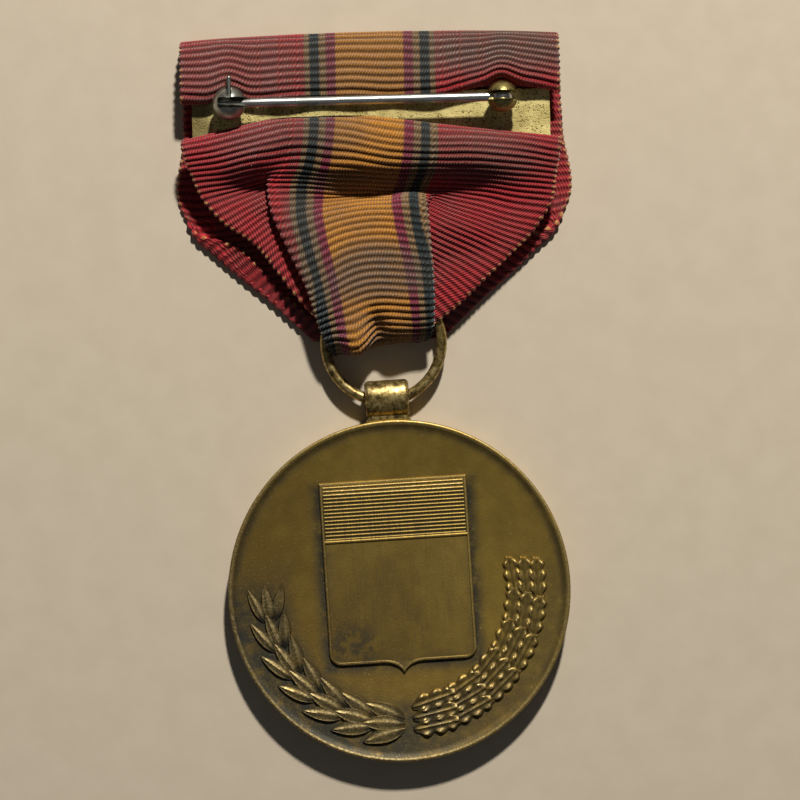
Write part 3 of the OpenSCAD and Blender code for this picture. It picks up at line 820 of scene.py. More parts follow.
    def layout(self, at: np.ndarray) -> tuple[np.ndarray, np.ndarray]:
        """Lays the sheet's middle surface.

        Args:
            at: places along the ribbon, one for each row.

        Returns:
            Each column's distance from the middle thread, and each point, in millimetres.
        """
        edge = np.array(self.edge_threads, float)
        fold = np.array(self.fold_threads, float)
        edge_u = [np.interp(at, edge[:, 0], edge[:, k]) for k in (1, 2)]
        fold_u = [np.interp(at, fold[:, 0], fold[:, k]) for k in (1, 2)]
        middle = self.thread(self.middle, (), 0.0, 0.0, at)
        left = [self.thread(self.left_selvedge, self.front_selvedge, -self.half, -self.half, at),
                self.thread(self.left_fold, self.front_fold, -9.5, -11.0, at),
                self.thread(self.left_edge, (), -7.7, -7.5, at)]
        front_selvedge, front_fold = self.mirrored(self.front_selvedge), self.mirrored(self.front_fold)
        right = [self.thread(self.right_selvedge, front_selvedge, self.half, self.half, at),
                 self.thread(self.right_fold, front_fold, 8.5, 11.0, at),
                 self.thread(self.right_edge, (), 6.4, 7.5, at)]
        folded = smoothstep(8.0, 10.5, at) * (1 - smoothstep(23.0, 25.0, at))
        across, points = [], []
        for sign, threads, eu, fu in ((-1, left, edge_u[0], fold_u[0]), (1, right, edge_u[1], fold_u[1])):
            selvedge, crease, rim = threads
            shoulder = np.minimum(0.8, (fu - eu) / 3)
            lift = np.array([0.0, 0.0, 1.0])
            outer = crease + (selvedge - crease) * (shoulder / (self.half - fu))[:, None]
            inner = crease + (rim - crease) * (shoulder / (fu - eu))[:, None]
            under = rim + (crease - rim) * (shoulder / (fu - eu))[:, None] - lift * (0.30 * folded)[:, None]
            upper = rim + (middle - rim) * (shoulder / eu)[:, None] + lift * (0.16 * folded)[:, None]
            us = [np.full_like(at, self.half), fu + shoulder, fu, fu - shoulder]
            us += [eu + shoulder, eu, eu - shoulder]
            ps = [selvedge, outer, crease, inner, under, rim, upper]
            if sign < 0:
                across += [-u for u in us] + [np.zeros_like(at)]
                points += [*ps, middle]
            else:
                across += us[::-1]
                points += ps[::-1]
        return np.stack(across, 1), np.stack(points, 1)

    def spread(self, across: np.ndarray, points: np.ndarray) -> tuple[np.ndarray, np.ndarray]:
        """Fills in the columns between the guided threads, closest together at the folds."""
        counts = [12, 2, 2, 2, 3, 3, 8]
        counts = counts + counts[::-1]
        place = [k + j / n for k, n in enumerate(counts) for j in range(n)] + [len(counts)]
        knots = np.arange(len(counts) + 1)
        full_across = np.array([np.interp(place, knots, row) for row in across])
        full = np.stack([self.curve(row_u, row_p, row_full)
                         for row_u, row_p, row_full in zip(across, points, full_across)])
        return full_across, full

    def settle_over_fittings(self, at: np.ndarray, across: np.ndarray, points: np.ndarray) -> None:
        """Draws the flap up over the hinge and round the catch, and lets its top edge bow a little."""
        origin = self.origin
        x = points[..., 0]
        depth = np.full_like(x, self.flap_depth)
        depth += 0.10 * smoothstep(-9.0, -16.5, x) - 0.10 * smoothstep(14.0, 17.0, x)
        for node, reach, rise in self.lifts:
            low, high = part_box(node)
            middle = (low.x + high.x) / 2 / MM - origin.x
            depth -= rise * np.clip(1 - ((x - middle) / reach) ** 2, 0, 1) ** 1.5
        share = smoothstep(55.0, 57.0, at) * (1 - smoothstep(62.2, 63.2, at))
        moved = self.flap_top - (self.flap_top - points[..., 1]) * depth / 6.0
        points[..., 1] += (moved - points[..., 1]) * share[:, None]
        bow = smoothstep(53.0, 55.0, at) * (1 - smoothstep(56.0, 60.0, at))
        points[..., 1] += bow[:, None] * 0.5 * (1 - np.abs(x / self.half) ** 2.5)
        for along, side, reach, width, rise, slide in self.crumples:
            near = np.exp(-((at[:, None] - along) / reach) ** 2 - ((across - side) / width) ** 2)
            points[..., 2] += rise * near
            points[..., 1] -= slide * near
        ruffle = smoothstep(56.0, 60.0, at) * (1 - smoothstep(61.3, 61.9, at))
        swell = 0.16 * np.sin(0.9 * across + 0.35 * at[:, None]) + 0.10 * np.sin(0.37 * across - 1.0)
        points[..., 2] += ruffle[:, None] * (swell + 0.35 * np.clip(1 - ((x - 12.2) / 5.0) ** 2, 0, 1))

    def wander(self, at: np.ndarray, across: np.ndarray, points: np.ndarray) -> np.ndarray:
        """Slides the ribs a little along the ribbon, so that none of them runs quite straight."""
        v = at[:, None]
        inner = smoothstep(-3.0, 1.0, v) * (1 - smoothstep(61.0, 64.0, v))
        shift = 0.12 * np.sin(0.41 * across + 0.31 * v) + 0.035 * np.sin(1.15 * across - 0.43 * v + 1.0)
        sheared = smoothstep(-0.5, 2.0, v) * (1 - smoothstep(7.5, 11.0, v))
        shift += sheared * 0.95 * smoothstep(-6.0, 5.0, across) * (1 - 0.8 * smoothstep(5.0, 13.0, across))
        moved = np.empty_like(points)
        for j in range(points.shape[1]):
            place = at + (shift * inner)[:, j]
            for k in range(3):
                moved[:, j, k] = np.interp(place, at, points[:, j, k])
        return moved

    @staticmethod
    def relax(points: np.ndarray, along: int, over: int) -> np.ndarray:
        """Rounds the surface off by averaging neighbours, along the ribbon and over it."""
        for axis, times in ((0, along), (1, over)):
            rows = np.moveaxis(points, axis, 0)
            for _ in range(times):
                mean = rows.copy()
                mean[1:-1] = (rows[:-2] + 2 * rows[1:-1] + rows[2:]) / 4
                rows = mean
            points = np.moveaxis(rows, 0, axis)
        return points

    def skin(self, across: np.ndarray, points: np.ndarray) -> tuple[np.ndarray, np.ndarray]:
        """Gives the middle surface its thickness and its ribs.

        Args:
            across: each column's distance from the middle thread.
            points: the middle surface.

        Returns:
            For each row, the closed ring of points round its section, and how far each lies from the
            middle thread.
        """
        normal = np.cross(np.gradient(points, axis=1), np.gradient(points, axis=0))
        normal /= np.linalg.norm(normal, axis=2, keepdims=True) + 1e-9
        normal = self.relax(normal, 3, 1)
        profile = np.array([-1.0, -0.05, 0.95, 0.95, -0.05])
        rib = profile[np.arange(len(points)) % self.rows_per_rib][:, None, None]
        half_thick = self.thickness / 2 + rib * self.rib_depth / 2
        outwards = points[:, [0, -1]] - points[:, [1, -2]]
        outwards /= np.linalg.norm(outwards, axis=2, keepdims=True) + 1e-9
        rim = points[:, [0, -1]] + outwards * (self.picot_reach + self.picot_wave * rib)
        upper, lower = points + normal * half_thick, points - normal * half_thick
        ring = np.concatenate([upper, rim[:, 1:], lower[:, ::-1], rim[:, :1]], axis=1)
        ring_u = np.concatenate([across, across[:, -1:], across[:, ::-1], across[:, :1]], axis=1)
        ring += np.array(self.origin)
        above = (ring[..., 2] - self.table_gap) * self.table_firmness
        ring[..., 2] = self.table_gap + np.logaddexp(0.0, above) / self.table_firmness
        return ring, ring_u

    @staticmethod
    def faces(rows: int, columns: int) -> list[list[int]]:
        """Lists the faces of the closed sheet.

        Args:
            rows: rings along the ribbon.
            columns: points across its upper side.

        Returns:
            Four-sided faces round the sheet and over both ends, and a small triangle at each end's corners.
        """
        around = 2 * columns + 2
        index = np.arange(rows * around).reshape(rows, around)
        after = np.roll(index, -1, axis=1)
        sides = np.stack([index[:-1], after[:-1], after[1:], index[1:]], axis=2).reshape(-1, 4)
        under = index[:, around - 2:columns:-1]
        cap = np.stack([index[:, :columns - 1], index[:, 1:columns], under[:, 1:], under[:, :-1]], axis=2)
        faces = [*sides.tolist(), *cap[0][:, ::-1].tolist(), *cap[-1].tolist()]
        right, left = (columns - 1, columns, columns + 1), (around - 2, around - 1, 0)
        faces += [[int(index[-1, k]) for k in corner] for corner in (right, left)]
        return faces + [[int(index[0, k]) for k in reversed(corner)] for corner in (right, left)]

    def add_map(self, mesh: bpy.types.Mesh, at: np.ndarray, ring_u: np.ndarray) -> None:
        """Maps the sheet: u runs across it and v along it, from 0 to 1."""
        layer = mesh.uv_layers.new(name="ribbon_map")
        corner = np.zeros(len(mesh.loops), np.int32)
        mesh.loops.foreach_get("vertex_index", corner)
        u = ring_u.reshape(-1)[corner] / (2 * self.half) + 0.5
        v = ((np.repeat(at, ring_u.shape[1]) - self.tuck_start) / self.length)[corner]
        layer.data.foreach_set("uv", np.stack([u, v], 1).astype(np.float32).ravel())

    def build(self) -> bpy.types.Object:
        """Makes the ribbon's closed mesh with its ribs and its map."""
        step = self.rib_pitch / self.rows_per_rib
        rows = int(round(self.length / step)) + 1
        at = np.linspace(self.tuck_start, self.tuck_end, rows)
        across, points = self.spread(*self.layout(at))
        self.settle_over_fittings(at, across, points)
        points = self.wander(at, across, self.relax(points, 4, 2))
        ring, ring_u = self.skin(across, points)
        mesh = bpy.data.meshes.new("ribbon")
        mesh.from_pydata((ring.reshape(-1, 3) * MM).tolist(), [], self.faces(rows, points.shape[1]))
        mesh.update()
        self.add_map(mesh, at, ring_u)
        self.sheet = bpy.data.objects.new("ribbon", mesh)
        bpy.context.scene.collection.objects.link(self.sheet)
        with Editing(self.sheet) as edit:
            edit.all()
            bpy.ops.mesh.normals_make_consistent(inside=False)
        Bench.only(self.sheet)
        bpy.ops.object.shade_smooth()
        return self.sheet

    def fit(self) -> None:
        """Puts the ribbon's place into its mesh and hides the CAD ribbon pieces that it stands in for."""
        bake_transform(self.sheet)
        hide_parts("ribbon_wrap", "ribbon_tail", "ribbon_drape")


# ---- disc ----


@dataclass
class MedalDisc:
    """The struck disc: rims, shield with its lined band, laurel and oak branches, and a generic front."""

    rim_w: float = 0.24
    slope_w: float = 0.55
    back_depth: float = 0.34
    front_depth: float = 0.35
    shield_width: float = 13.7
    shield_height: float = 18.0
    shield_top: float = 10.4
    corner_round: float = 1.1
    point_drop: float = 1.0
    point_half: float = 1.9
    ground: float = 0.24
    band_height: float = 5.5
    band_lines: int = 15
    # a laurel leaf's length, width and height
    laurel_leaf_size: tuple = (3.95, 1.50, 0.33)
    laurel_r: float = 12.45
    laurel_groups: int = 7
    laurel_fan: tuple = ((0.30, 15), (-0.60, -24), (-0.15, -4))
    # an oak leaf's length and width
    oak_leaf_size: tuple = (4.5, 1.80)
    oak_r: float = 11.9
    oak_groups: int = 6
    oak_fan: tuple = ((1.05, -7), (-1.0, -14), (0.0, -9))
    leaf_thick: float = 0.12
    rays: int = 24
    ray_size: tuple = (4.0, 0.26)
    piece: bpy.types.Object | None = field(default=None, init=False)

    def __post_init__(self) -> None:
        """Reads the disc's place, size and turn from the frame."""
        low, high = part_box("medal_disc")
        self.centre = (low + high) / 2
        self.radius = (high.x - low.x) / 2
        self.top_z, self.bottom_z = high.z, low.z
        self.turn = pendant_turn()
        self.field_z = self.top_z - self.back_depth * MM
        self.relief_z = self.field_z + 0.30 * MM
        self.shield_w = self.shield_width * MM
        self.shield_h = self.shield_height * MM
        self.shield_mid = (self.shield_top - self.shield_height / 2) * MM

    @property
    def place(self) -> Matrix:
        """From the disc's own frame, origin at the middle of its back field, to the row frame."""
        middle = Matrix.Translation((self.centre.x, self.centre.y, self.field_z))
        return middle @ Matrix.Rotation(self.turn, 4, "Z")

    def blank(self) -> bpy.types.Object:
        """Turns the blank: a cylinder whose two fields lie sunk inside narrow rims with soft inner slopes."""
        thick = self.top_z - self.bottom_z
        middle_z = self.bottom_z - self.field_z + thick / 2
        piece = Bench.start(bpy.ops.mesh.primitive_cylinder_add, "struck_disc", vertices=192,
                            radius=self.radius, depth=thick, location=(0, 0, middle_z))

        def on_rim(middle: Vector, way: Vector) -> bool:
            """Whether an edge runs round the outside."""
            return abs(math.hypot(middle.x, middle.y) - self.radius) < 0.02 * MM and abs(way.z) < 0.5

        with Editing(piece) as edit:
            for side, depth in ((1, self.back_depth), (-1, self.front_depth)):
                edit.pick("FACE", lambda middle, normal: normal.z * side > 0.9)
                bpy.ops.mesh.inset(thickness=self.rim_w * MM)
                bpy.ops.mesh.inset(thickness=self.slope_w * 0.5 * MM, depth=-depth * 0.62 * MM)
                bpy.ops.mesh.inset(thickness=self.slope_w * 0.8 * MM, depth=-depth * 0.38 * MM)
            edit.pick("EDGE", on_rim)
            bpy.ops.mesh.bevel(offset=0.19 * MM, segments=4, profile=0.6)
        return piece

    def shield(self) -> bpy.types.Object:
        """Cuts the shield as a raised panel with rounded lower corners, a small point and a fine border."""
        half, base = self.shield_width / 2 * MM, (self.shield_top - self.shield_height + self.point_drop) * MM
        top = self.shield_top * MM
        piece = Bench.start(bpy.ops.mesh.primitive_plane_add, "shield", size=1)

        def point(p: Vector) -> Vector:
            """Draws the middle of the base down to a point with a hollow curve on each side."""
            if p.y > base + 0.01 * MM or abs(p.x) > self.point_half * MM:
                return p
            t = 1 - abs(p.x) / (self.point_half * MM)
            return Vector((p.x, p.y - (0.35 * t ** 1.5 + 0.65 * t ** 4) * self.point_drop * MM, p.z))

        with Editing(piece) as edit:
            edit.all()
            bpy.ops.transform.resize(value=(2 * half, top - base, 1))
            bpy.ops.transform.translate(value=(0, (top + base) / 2, 0))
            edit.pick("VERT", lambda at, normal: at.y < base + 0.1 * MM)
            bpy.ops.mesh.bevel(offset=self.corner_round * MM, segments=6, affect="VERTICES")
            edit.pick("EDGE", lambda middle, way: middle.y < base + 0.01 * MM and abs(way.x) > 0.99)
            bpy.ops.mesh.subdivide(number_cuts=47)
            edit.all()
            bpy.ops.mesh.remove_doubles(threshold=0.01 * MM)
            edit.reshape(point)
            bpy.ops.mesh.extrude_region_move(TRANSFORM_OT_translate={"value": (0, 0, 0.20 * MM)})
            edit.all()
            bpy.ops.mesh.normals_make_consistent(inside=False)
            edit.pick("FACE", lambda middle, normal: normal.z > 0.9 and middle.z > 0.1 * MM)
            bpy.ops.mesh.inset(thickness=0.11 * MM, depth=0.10 * MM)
            bpy.ops.mesh.inset(thickness=0.13 * MM)
            bpy.ops.mesh.inset(thickness=0.07 * MM, depth=-0.06 * MM)
        Bench.weld(piece)
        return piece

    def band(self) -> list[bpy.types.Object]:
        """Rules the shield's upper band: a rounded line copied down it, and a stouter one to close it."""
        width = self.shield_width - 0.7
        pitch = self.band_height / (self.band_lines + 1)
        line = Bench.start(bpy.ops.mesh.primitive_cylinder_add, "band_line", vertices=12, radius=0.5, depth=1,
                           rotation=(0, math.radians(90), 0))

        def ruled(y: float, long: float, wide: float, high: float) -> Matrix:
            """Where a line lies and how large it is, in millimetres."""
            return Matrix.Translation((0, y * MM, self.ground * MM)) @ Matrix.Diagonal(
                (long * MM, wide * MM, high * MM, 1))

        places = [ruled(self.shield_top - 0.25 - (i + 0.6) * pitch, width, pitch * 0.62, 0.20)
                  for i in range(self.band_lines)]
        places.append(ruled(self.shield_top - self.band_height, width + 0.25, 0.34, 0.24))
        return Bench.copies(line, places)

    def laurel_leaf(self) -> bpy.types.Object:
        """Shapes one pointed leaf with a crisp edge and midrib, its stem at the origin, its tip along +X."""
        leaf = Bench.start(bpy.ops.mesh.primitive_grid_add, "laurel_leaf", x_subdivisions=16,
                           y_subdivisions=10, size=2)
        length, width, high = self.laurel_leaf_size

        def shape(p: Vector) -> Vector:
            """Narrows the grid to both ends and crowns it round a midrib."""
            t = (p.x + 1) / 2
            pull = math.sin(math.pi * t ** 0.85) ** 0.85 if 0 < t < 1 else 0.02
            edge = abs(p.y)
            crown = 0.50 + 0.50 * (1 - edge) ** 1.6 + 0.20 * smoothstep(0.55, 0.75, edge)
            z = high * crown * (0.45 + 0.55 * min(1.0, 4 * t)) * (0.55 + 0.45 * pull)
            return Vector((t * length, p.y * pull * width / 2, z if edge < 0.99 and 0 < t < 1 else 0.05)) * MM

        with Editing(leaf) as edit:
            edit.reshape(shape)
            edit.all()
            bpy.ops.mesh.extrude_region_move(TRANSFORM_OT_translate={"value": (0, 0, -self.leaf_thick * MM)})
        Bench.weld(leaf)
        return leaf

    def oak_leaf(self) -> bpy.types.Object:
        """Shapes one lobed leaf, its stem at the origin and its tip along +X, with a bead on each lobe."""
        leaf = Bench.start(bpy.ops.mesh.primitive_grid_add, "oak_leaf", x_subdivisions=26,
                           y_subdivisions=12, size=2)
        length, width = self.oak_leaf_size

        def shape(p: Vector) -> Vector:
            """Waves the grid's edges into forward lobes, crowns it and raises a bead on each lobe."""
            t = (p.x + 1) / 2
            lobe = 0.5 + 0.5 * math.cos(math.tau * (t - 0.22) / 0.29)
            ends = smoothstep(0.0, 0.14, t) * (1 - 0.62 * smoothstep(0.66, 1.0, t))
            pull = (0.70 + 0.30 * lobe) * (0.30 + 0.70 * ends)
            edge = abs(p.y)
            bead = 0.24 * lobe * math.exp(-((edge - 0.66) / 0.24) ** 2) * (0.4 + 0.6 * ends)
            rib = 0.12 * math.exp(-(edge / 0.16) ** 2)
            tip = 0.20 * math.exp(-((t - 0.93) / 0.06) ** 2) * math.exp(-(edge / 0.6) ** 2)
            inside = edge < 0.99 and 0 < t < 1
            return Vector(((t + 0.08 * edge ** 2 * ends) * length * 0.94, p.y * pull * width / 2,
                           0.08 + bead + rib + tip if inside else -0.02)) * MM

        with Editing(leaf) as edit:
            edit.reshape(shape)
            edit.all()
            bpy.ops.mesh.extrude_region_move(TRANSFORM_OT_translate={"value": (0, 0, -self.leaf_thick * MM)})
        Bench.weld(leaf)
        return leaf

    def branch(self, leaf: bpy.types.Object, radius: float, groups: int, first: float, last: float, way: int,
               taper: float, fan: Sequence[tuple[float, float]]) -> list[bpy.types.Object]:
        """Lays leaves in threes along one branch of the wreath.

        Args:
            leaf: the leaf to copy.
            radius: the branch's distance from the disc's middle, in millimetres.
            groups: how many groups of three.
            first: angle of the group nearest the bottom, in degrees from the bottom.
            last: angle of the group at the tip.
            way: -1 for the left branch, 1 for the right one.
            taper: how much narrower the leaves get towards the tip.
            fan: each leaf's sideways step in millimetres and its turn in degrees, outer leaf first.

        Returns:
            The leaves.
        """
        places = []
        for i in range(groups):
            angle = first + (last - first) * i / (groups - 1)
            base = -90 + way * angle
            for out, turn in fan:
                step = Matrix.Translation(((radius + out) * MM, 0, 0))
                heading = Matrix.Rotation(math.radians(way * (90 - turn)), 4, "Z")
                at = Matrix.Rotation(math.radians(base), 4, "Z") @ step @ heading
                lift = Matrix.Translation((0, 0, 0.05 * MM * (1 - abs(turn) / 20)))
                lean = Matrix.Rotation(math.radians(-0.9), 4, "Y")
                grown = Matrix.Diagonal((1.06 - 0.16 * i / groups, 1.12 - taper * i / groups, 1, 1))
                places.append(at @ lift @ lean @ grown)
        return Bench.copies(leaf, places)

    def front(self) -> list[bpy.types.Object]:
        """Gives the face a plain star inside a circle of rays."""
        down = self.bottom_z - self.field_z + self.front_depth * MM
        star = Bench.start(bpy.ops.mesh.primitive_circle_add, "front_star", vertices=10, radius=1,
                           fill_type="NGON")
        reach = self.radius * 0.5

        def points(p: Vector) -> Vector:
            """Draws every other corner in."""
            k = round(math.atan2(p.x, p.y) / math.tau * 10) % 10
            r = reach if k % 2 == 0 else reach * 0.4
            angle = k * math.tau / 10
            return Vector((r * math.sin(angle), r * math.cos(angle), down + 0.05 * MM))

        with Editing(star) as edit:
            edit.reshape(points)
            edit.all()
            bpy.ops.mesh.extrude_region_move(TRANSFORM_OT_translate={"value": (0, 0, -0.08 * MM)})
            edit.pick("FACE", lambda middle, normal: middle.z < down - 0.01 * MM and abs(normal.z) > 0.9)
            bpy.ops.mesh.poke(offset=0.2 * MM)
        long, wide = self.ray_size
        ray = Bench.start(bpy.ops.mesh.primitive_cylinder_add, "front_ray", vertices=8, radius=wide * MM,
                          depth=long * MM, rotation=(0, math.radians(90), 0))
        rays = Bench.copies(ray, [Matrix.Rotation((i + 0.5) * math.tau / self.rays, 4, "Z")
                                  @ Matrix.Translation((self.radius * 0.75, 0, down))
                                  for i in range(self.rays)])
        Bench.weld(star)
        return [star, *rays]

    def build(self) -> bpy.types.Object:
        """Makes the disc and everything struck on it as one piece."""
        parts = [self.blank(), self.shield(), *self.band()]
        parts += self.branch(self.laurel_leaf(), self.laurel_r, self.laurel_groups, first=1, last=80, way=-1,
                             taper=0.42, fan=self.laurel_fan)
        parts += self.branch(self.oak_leaf(), self.oak_r, self.oak_groups, first=2, last=83, way=1,
                             taper=0.16, fan=self.oak_fan)
        parts += self.front()
        self.piece = Bench.join(parts, "struck_disc")
        self.piece.data.transform(self.place)
        Bench.smooth(self.piece, 40)
        return self.piece

    def fit(self) -> None:
        """Hangs the disc on the pendant."""
        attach(self.piece, Body.PENDANT.value)
        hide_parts("medal_disc")


# ---- ring and loop ----


@dataclass
class Suspension:
    """The wire ring with its closed joint, and the barrel loop soldered to the disc."""

    joint_gap: float = 0.06
    bore: float = 1.6
    wall_round: float = 0.38
    swell: float = 1.18
    neck_width: float = 3.3
    neck_thick: float = 1.7
    # how far the neck reaches into the disc's rim, how high it starts, and how much it spreads
    neck_bite: float = 0.20
    neck_head: float = 1.0
    neck_spread: float = 0.28
    pieces: list[bpy.types.Object] = field(default_factory=list, init=False)

    def ring(self) -> bpy.types.Object:
        """Spins the wire's section round from one side of the joint to the other."""
        low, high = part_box("ring")
        centre = (low + high) / 2
        wire = (high.z - low.z) / 2
        middle = (high.x - low.x) / 2 - wire
        piece = Bench.start(bpy.ops.mesh.primitive_circle_add, "suspension_ring", vertices=20, radius=wire,
                            fill_type="NGON", rotation=(math.radians(90), 0, math.radians(90)),
                            location=centre + Vector((0, middle, 0)))
        gap = self.joint_gap * MM / middle
        with Editing(piece) as edit:
            edit.all()
            bpy.ops.mesh.spin(steps=120, angle=math.tau - gap, center=centre, axis=(0, 0, 1))
        Bench.weld(piece)
        Bench.smooth(piece, 50)
        return piece

    def loop(self) -> bpy.types.Object:
        """Turns the barrel with rounded lips and a waisted neck that spreads onto the disc's rim."""
        joint = joint_named("pendant_swing")
        turn = pendant_turn()
        low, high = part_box("barrel_loop")
        pivot = Vector(joint["pos_m"])
        radius = high.z - pivot.z
        bore = self.bore / 2 * MM
        disc_low, disc_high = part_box("medal_disc")
        disc_mid = (disc_low.z + disc_high.z) / 2 - pivot.z
        length = (high.x - low.x) - 2 * radius * abs(math.sin(turn))
        place = Matrix.Translation(pivot) @ Matrix.Rotation(turn, 4, "Z")
        barrel = Bench.start(bpy.ops.mesh.primitive_cylinder_add, "barrel_loop_shell", vertices=48,
                             radius=radius, depth=length, rotation=(0, math.radians(90), 0))

        def flare(p: Vector) -> Vector:
            """Draws the shell out towards the disc and leaves the bore round."""
            return Vector((p.x, p.y * (self.swell if math.hypot(p.y, p.z) > bore + 0.1 * MM else 1.0), p.z))

        with Editing(barrel) as edit:
            edit.pick("FACE", lambda middle, normal: abs(normal.x) > 0.9)
            bpy.ops.mesh.inset(thickness=radius - bore)
            bpy.ops.mesh.bridge_edge_loops()
            edit.pick("EDGE", lambda middle, way: abs(abs(middle.x) - length / 2) < 0.01 * MM)
            bpy.ops.mesh.bevel(offset=self.wall_round * MM, segments=5)
            edit.reshape(flare)
        drop = pivot.y - disc_high.y
        foot, head = -drop - self.neck_bite * MM, -self.neck_head * MM
        width, thick = self.neck_width * MM, self.neck_thick * MM
        neck = Bench.start(bpy.ops.mesh.primitive_cube_add, "neck", size=1, scale=(width, head - foot, thick),
                           location=(0, (head + foot) / 2, disc_mid))

        def on_corner(middle: Vector, way: Vector) -> bool:
            """Whether an edge runs down one of the neck's four corners."""
            off_face = abs(abs(middle.z - disc_mid) - thick / 2)
            return abs(way.y) > 0.8 and off_face < 0.02 * MM and abs(middle.x) > 1.5 * MM

        def spread(p: Vector) -> Vector:
            """Widens the neck towards its foot."""
            return Vector((p.x * (1 + self.neck_spread * smoothstep(foot * 0.55, foot, p.y)), p.y, p.z))

        with Editing(neck) as edit:
            edit.all()
            bpy.ops.mesh.subdivide(number_cuts=6)
            edit.reshape(spread)
            edit.pick("EDGE", on_corner)
            bpy.ops.mesh.bevel(offset=0.35 * MM, segments=4)
        piece = Bench.join([barrel, neck], "suspension_loop")
        piece.data.transform(place)
        Bench.smooth(piece, 40)
        return piece

    def build(self) -> None:
        """Makes both pieces and hangs them."""
        made = ((self.ring(), "ring", Body.RING), (self.loop(), "barrel_loop", Body.PENDANT))
        for piece, node, body in made:
            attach(piece, body.value)
            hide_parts(node)
            self.pieces.append(piece)


# ---- pin and fittings ----


@dataclass
class BroochPin:
    """The pin: a round wire ground to a point, with a rounded knuckle on the hinge's rivet."""

    wire: float = 0.43
    knuckle_w: float = 0.80
    knuckle_r: float = 0.95
    knuckle_round: float = 0.30
    # the length of the ground point, and how thick its very tip is
    point: float = 3.2
    tip_share: float = 0.16
    piece: bpy.types.Object | None = field(default=None, init=False)

    def build(self) -> bpy.types.Object:
        """Draws the wire, tapers its end and rounds the knuckle over."""
        low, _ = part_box("pin")
        pivot = Vector(joint_named("pin_swing")["pos_m"])
        length = pivot.x - low.x
        stem = Bench.start(bpy.ops.mesh.primitive_cylinder_add, "pin_wire", vertices=24,
                           radius=self.wire * MM, depth=length, rotation=(0, math.radians(90), 0),
                           location=pivot - Vector((length / 2, 0, 0)))

        def ground(p: Vector) -> Vector:
            """Draws the wire in towards its point."""
            on_axis = Vector((p.x, pivot.y, pivot.z))
            return on_axis + (p - on_axis) * self.taper((p.x - low.x) / MM)

        with Editing(stem) as edit:
            edit.pick("EDGE", lambda middle, way: abs(way.x) > 0.9)
            bpy.ops.mesh.subdivide(number_cuts=40)
            edit.reshape(ground)
        knuckle = Bench.start(bpy.ops.mesh.primitive_cylinder_add, "pin_knuckle", vertices=40,
                              radius=self.knuckle_r * MM, depth=self.knuckle_w * MM,
                              rotation=(math.radians(90), 0, 0), location=pivot)
        with Editing(knuckle) as edit:
            edit.pick("EDGE", lambda middle, way: abs(way.y) < 0.5)
            bpy.ops.mesh.bevel(offset=self.knuckle_round * MM, segments=5)
        self.piece = Bench.join([stem, knuckle], "brooch_pin")
        Bench.smooth(self.piece, 40)
        return self.piece

    def taper(self, from_point: float) -> float:
        """The wire's share of its full thickness at a distance from the point, in millimetres."""
        return self.tip_share + (1 - self.tip_share) * min(1.0, from_point / self.point) ** 0.8

    def fit(self) -> None:
        """Hangs the pin on its body."""
        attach(self.piece, Body.PIN.value)
        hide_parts("pin")


def dress_fittings() -> None:
    """Makes the pin and gives the bar's brass, nickel and thread their finishes."""
    brass, nickel, thread = BrassFinish().make(), NickelFinish().make(), ThreadFinish().make()
    # the hinge's brass and the catch's nickel are darker copies of the bar's brass and the pin's nickel:
    # painted shade for these small fittings
    wear_and_painted_light = BrassFinish(bright=(0.50, 0.40, 0.15), dull=(0.13, 0.11, 0.04), roughness=0.24).make()
    catch = NickelFinish(bright=(0.40, 0.40, 0.36), dull=(0.09, 0.09, 0.07), roughness=0.27).make()
    pin = BroochPin()
    dress(pin.build(), nickel)
    pin.fit()
    finishes = {brass: ("bar_plate",), wear_and_painted_light: ("hinge_block", "hinge_rivet"),
                catch: ("catch_ball", "catch_rotor"), thread: ("end_stitches",)}
    for material, nodes in finishes.items():
        for node in nodes:
            dress(frame["nodes"][node], material)


# ---- studio ----


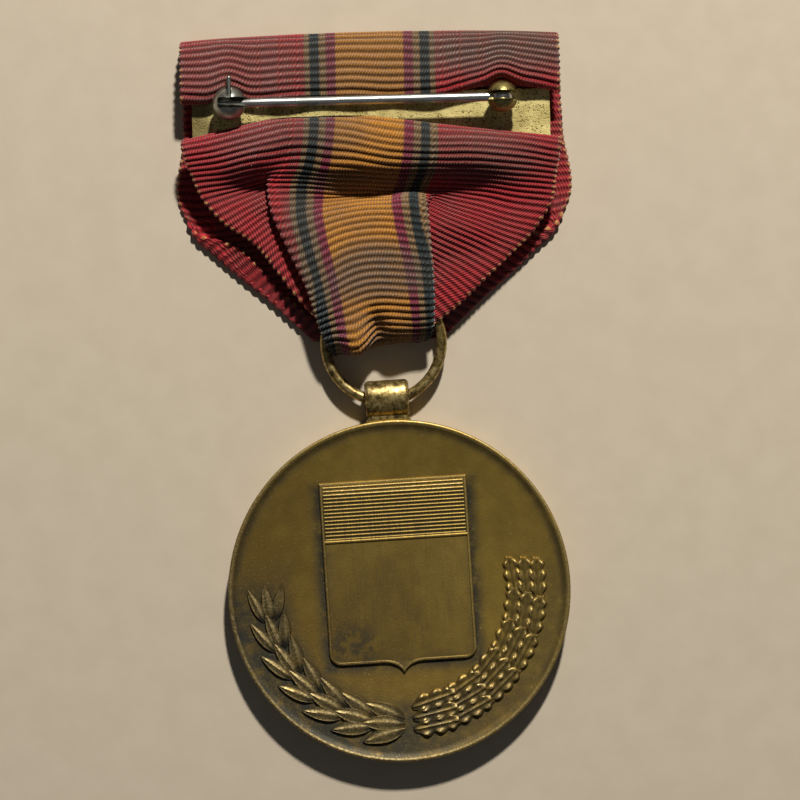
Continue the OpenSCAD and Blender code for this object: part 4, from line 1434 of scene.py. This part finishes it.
@dataclass
class Studio:
    """The pale floor, the soft key light and the camera above the medal."""

    view_width: float = 74.24
    lens: float = 150.0
    sensor: float = 36.0
    tilt: float = -1.5
    centre: tuple = (2.0, 0.0, 2.0)
    floor_size: float = 1.2
    floor_pale: tuple = (0.60, 0.51, 0.38)
    floor_dark: tuple = (0.52, 0.435, 0.315)
    # each lamp: (compass side, height, distance, size, power, colour)
    key: tuple = (11.0, 42.0, 0.5, 0.030, 3.15, (1.0, 0.97, 0.93))
    fill: tuple = (200, 60, 0.6, 0.5, 0.07, (0.90, 0.95, 1.0))
    sky: tuple = (0.80, 0.86, 0.95, 1)
    sky_strength: float = 0.045

    def floor(self) -> None:
        """Lays a plain pale floor just under the medal."""
        floor = Bench.start(bpy.ops.mesh.primitive_plane_add, "floor", size=self.floor_size,
                            location=(0, 0, -0.01 * MM))
        paint = Paint("pale_floor")
        grain = paint.noise(paint.place(), 3.0, 5.0)
        dress(floor, paint.surface({
            "Base Color": paint.mix(grain.above(0.5, 0.25) * 0.4, self.floor_pale, self.floor_dark),
            "Roughness": 0.9}))

    def lamp(self, name: str, azimuth: float, height: float, distance: float, size: float, power: float,
             colour: tuple) -> None:
        """Hangs one square lamp that looks at the medal from a compass side and a height in degrees."""
        data = bpy.data.lights.new(name, "AREA")
        data.size, data.energy, data.color = size, power, colour
        lamp = bpy.data.objects.new(name, data)
        a, e = math.radians(azimuth), math.radians(height)
        away = Vector((math.sin(a) * math.cos(e), math.cos(a) * math.cos(e), math.sin(e)))
        lamp.location = Vector(self.centre) * MM + away * distance
        lamp.rotation_euler = (-away).to_track_quat("-Z", "Y").to_euler()
        bpy.context.scene.collection.objects.link(lamp)

    def camera(self) -> None:
        """Sets the camera straight above, turned a little as the medal lies."""
        data = bpy.data.cameras.new("camera")
        data.lens, data.sensor_width = self.lens, self.sensor
        camera = bpy.data.objects.new("camera", data)
        distance = self.view_width * MM * self.lens / self.sensor
        camera.location = Vector(self.centre) * MM + Vector((0, 0, distance))
        camera.rotation_euler = (0, 0, math.radians(self.tilt))
        data.clip_start, data.clip_end = distance * 0.1, distance * 20
        bpy.context.scene.collection.objects.link(camera)
        bpy.context.scene.camera = camera

    def build(self) -> None:
        """Makes the floor, the lights and the camera."""
        self.camera()
        self.floor()
        self.lamp("key", *self.key)
        self.lamp("fill", *self.fill)
        world = bpy.data.worlds.new("studio")
        bpy.context.scene.world = world
        world.use_nodes = True
        background = world.node_tree.nodes["Background"]
        background.inputs["Color"].default_value = self.sky
        background.inputs["Strength"].default_value = self.sky_strength
        bpy.context.scene.view_settings.view_transform = "Standard"


def main() -> None:
    """Builds the scene in order and reports each piece."""
    logging.basicConfig(level=logging.INFO, format="%(name)s: %(message)s")
    Studio().build()
    disc = MedalDisc()
    bronze = BronzeFinish().make(disc)
    dress(disc.build(), bronze)
    disc.fit()
    LOG.info("disc: %d faces", len(disc.piece.data.polygons))
    suspension = Suspension()
    suspension.build()
    for piece in suspension.pieces:
        dress(piece, bronze)
        LOG.info("%s: %d faces", piece.name, len(piece.data.polygons))
    ribbon = Ribbon()
    dress(ribbon.build(), RibbonFinish().make(ribbon))
    ribbon.fit()
    LOG.info("ribbon: %d faces", len(ribbon.sheet.data.polygons))
    dress_fittings()
    LOG.info("fittings dressed")


if __name__ == "__main__":
    main()
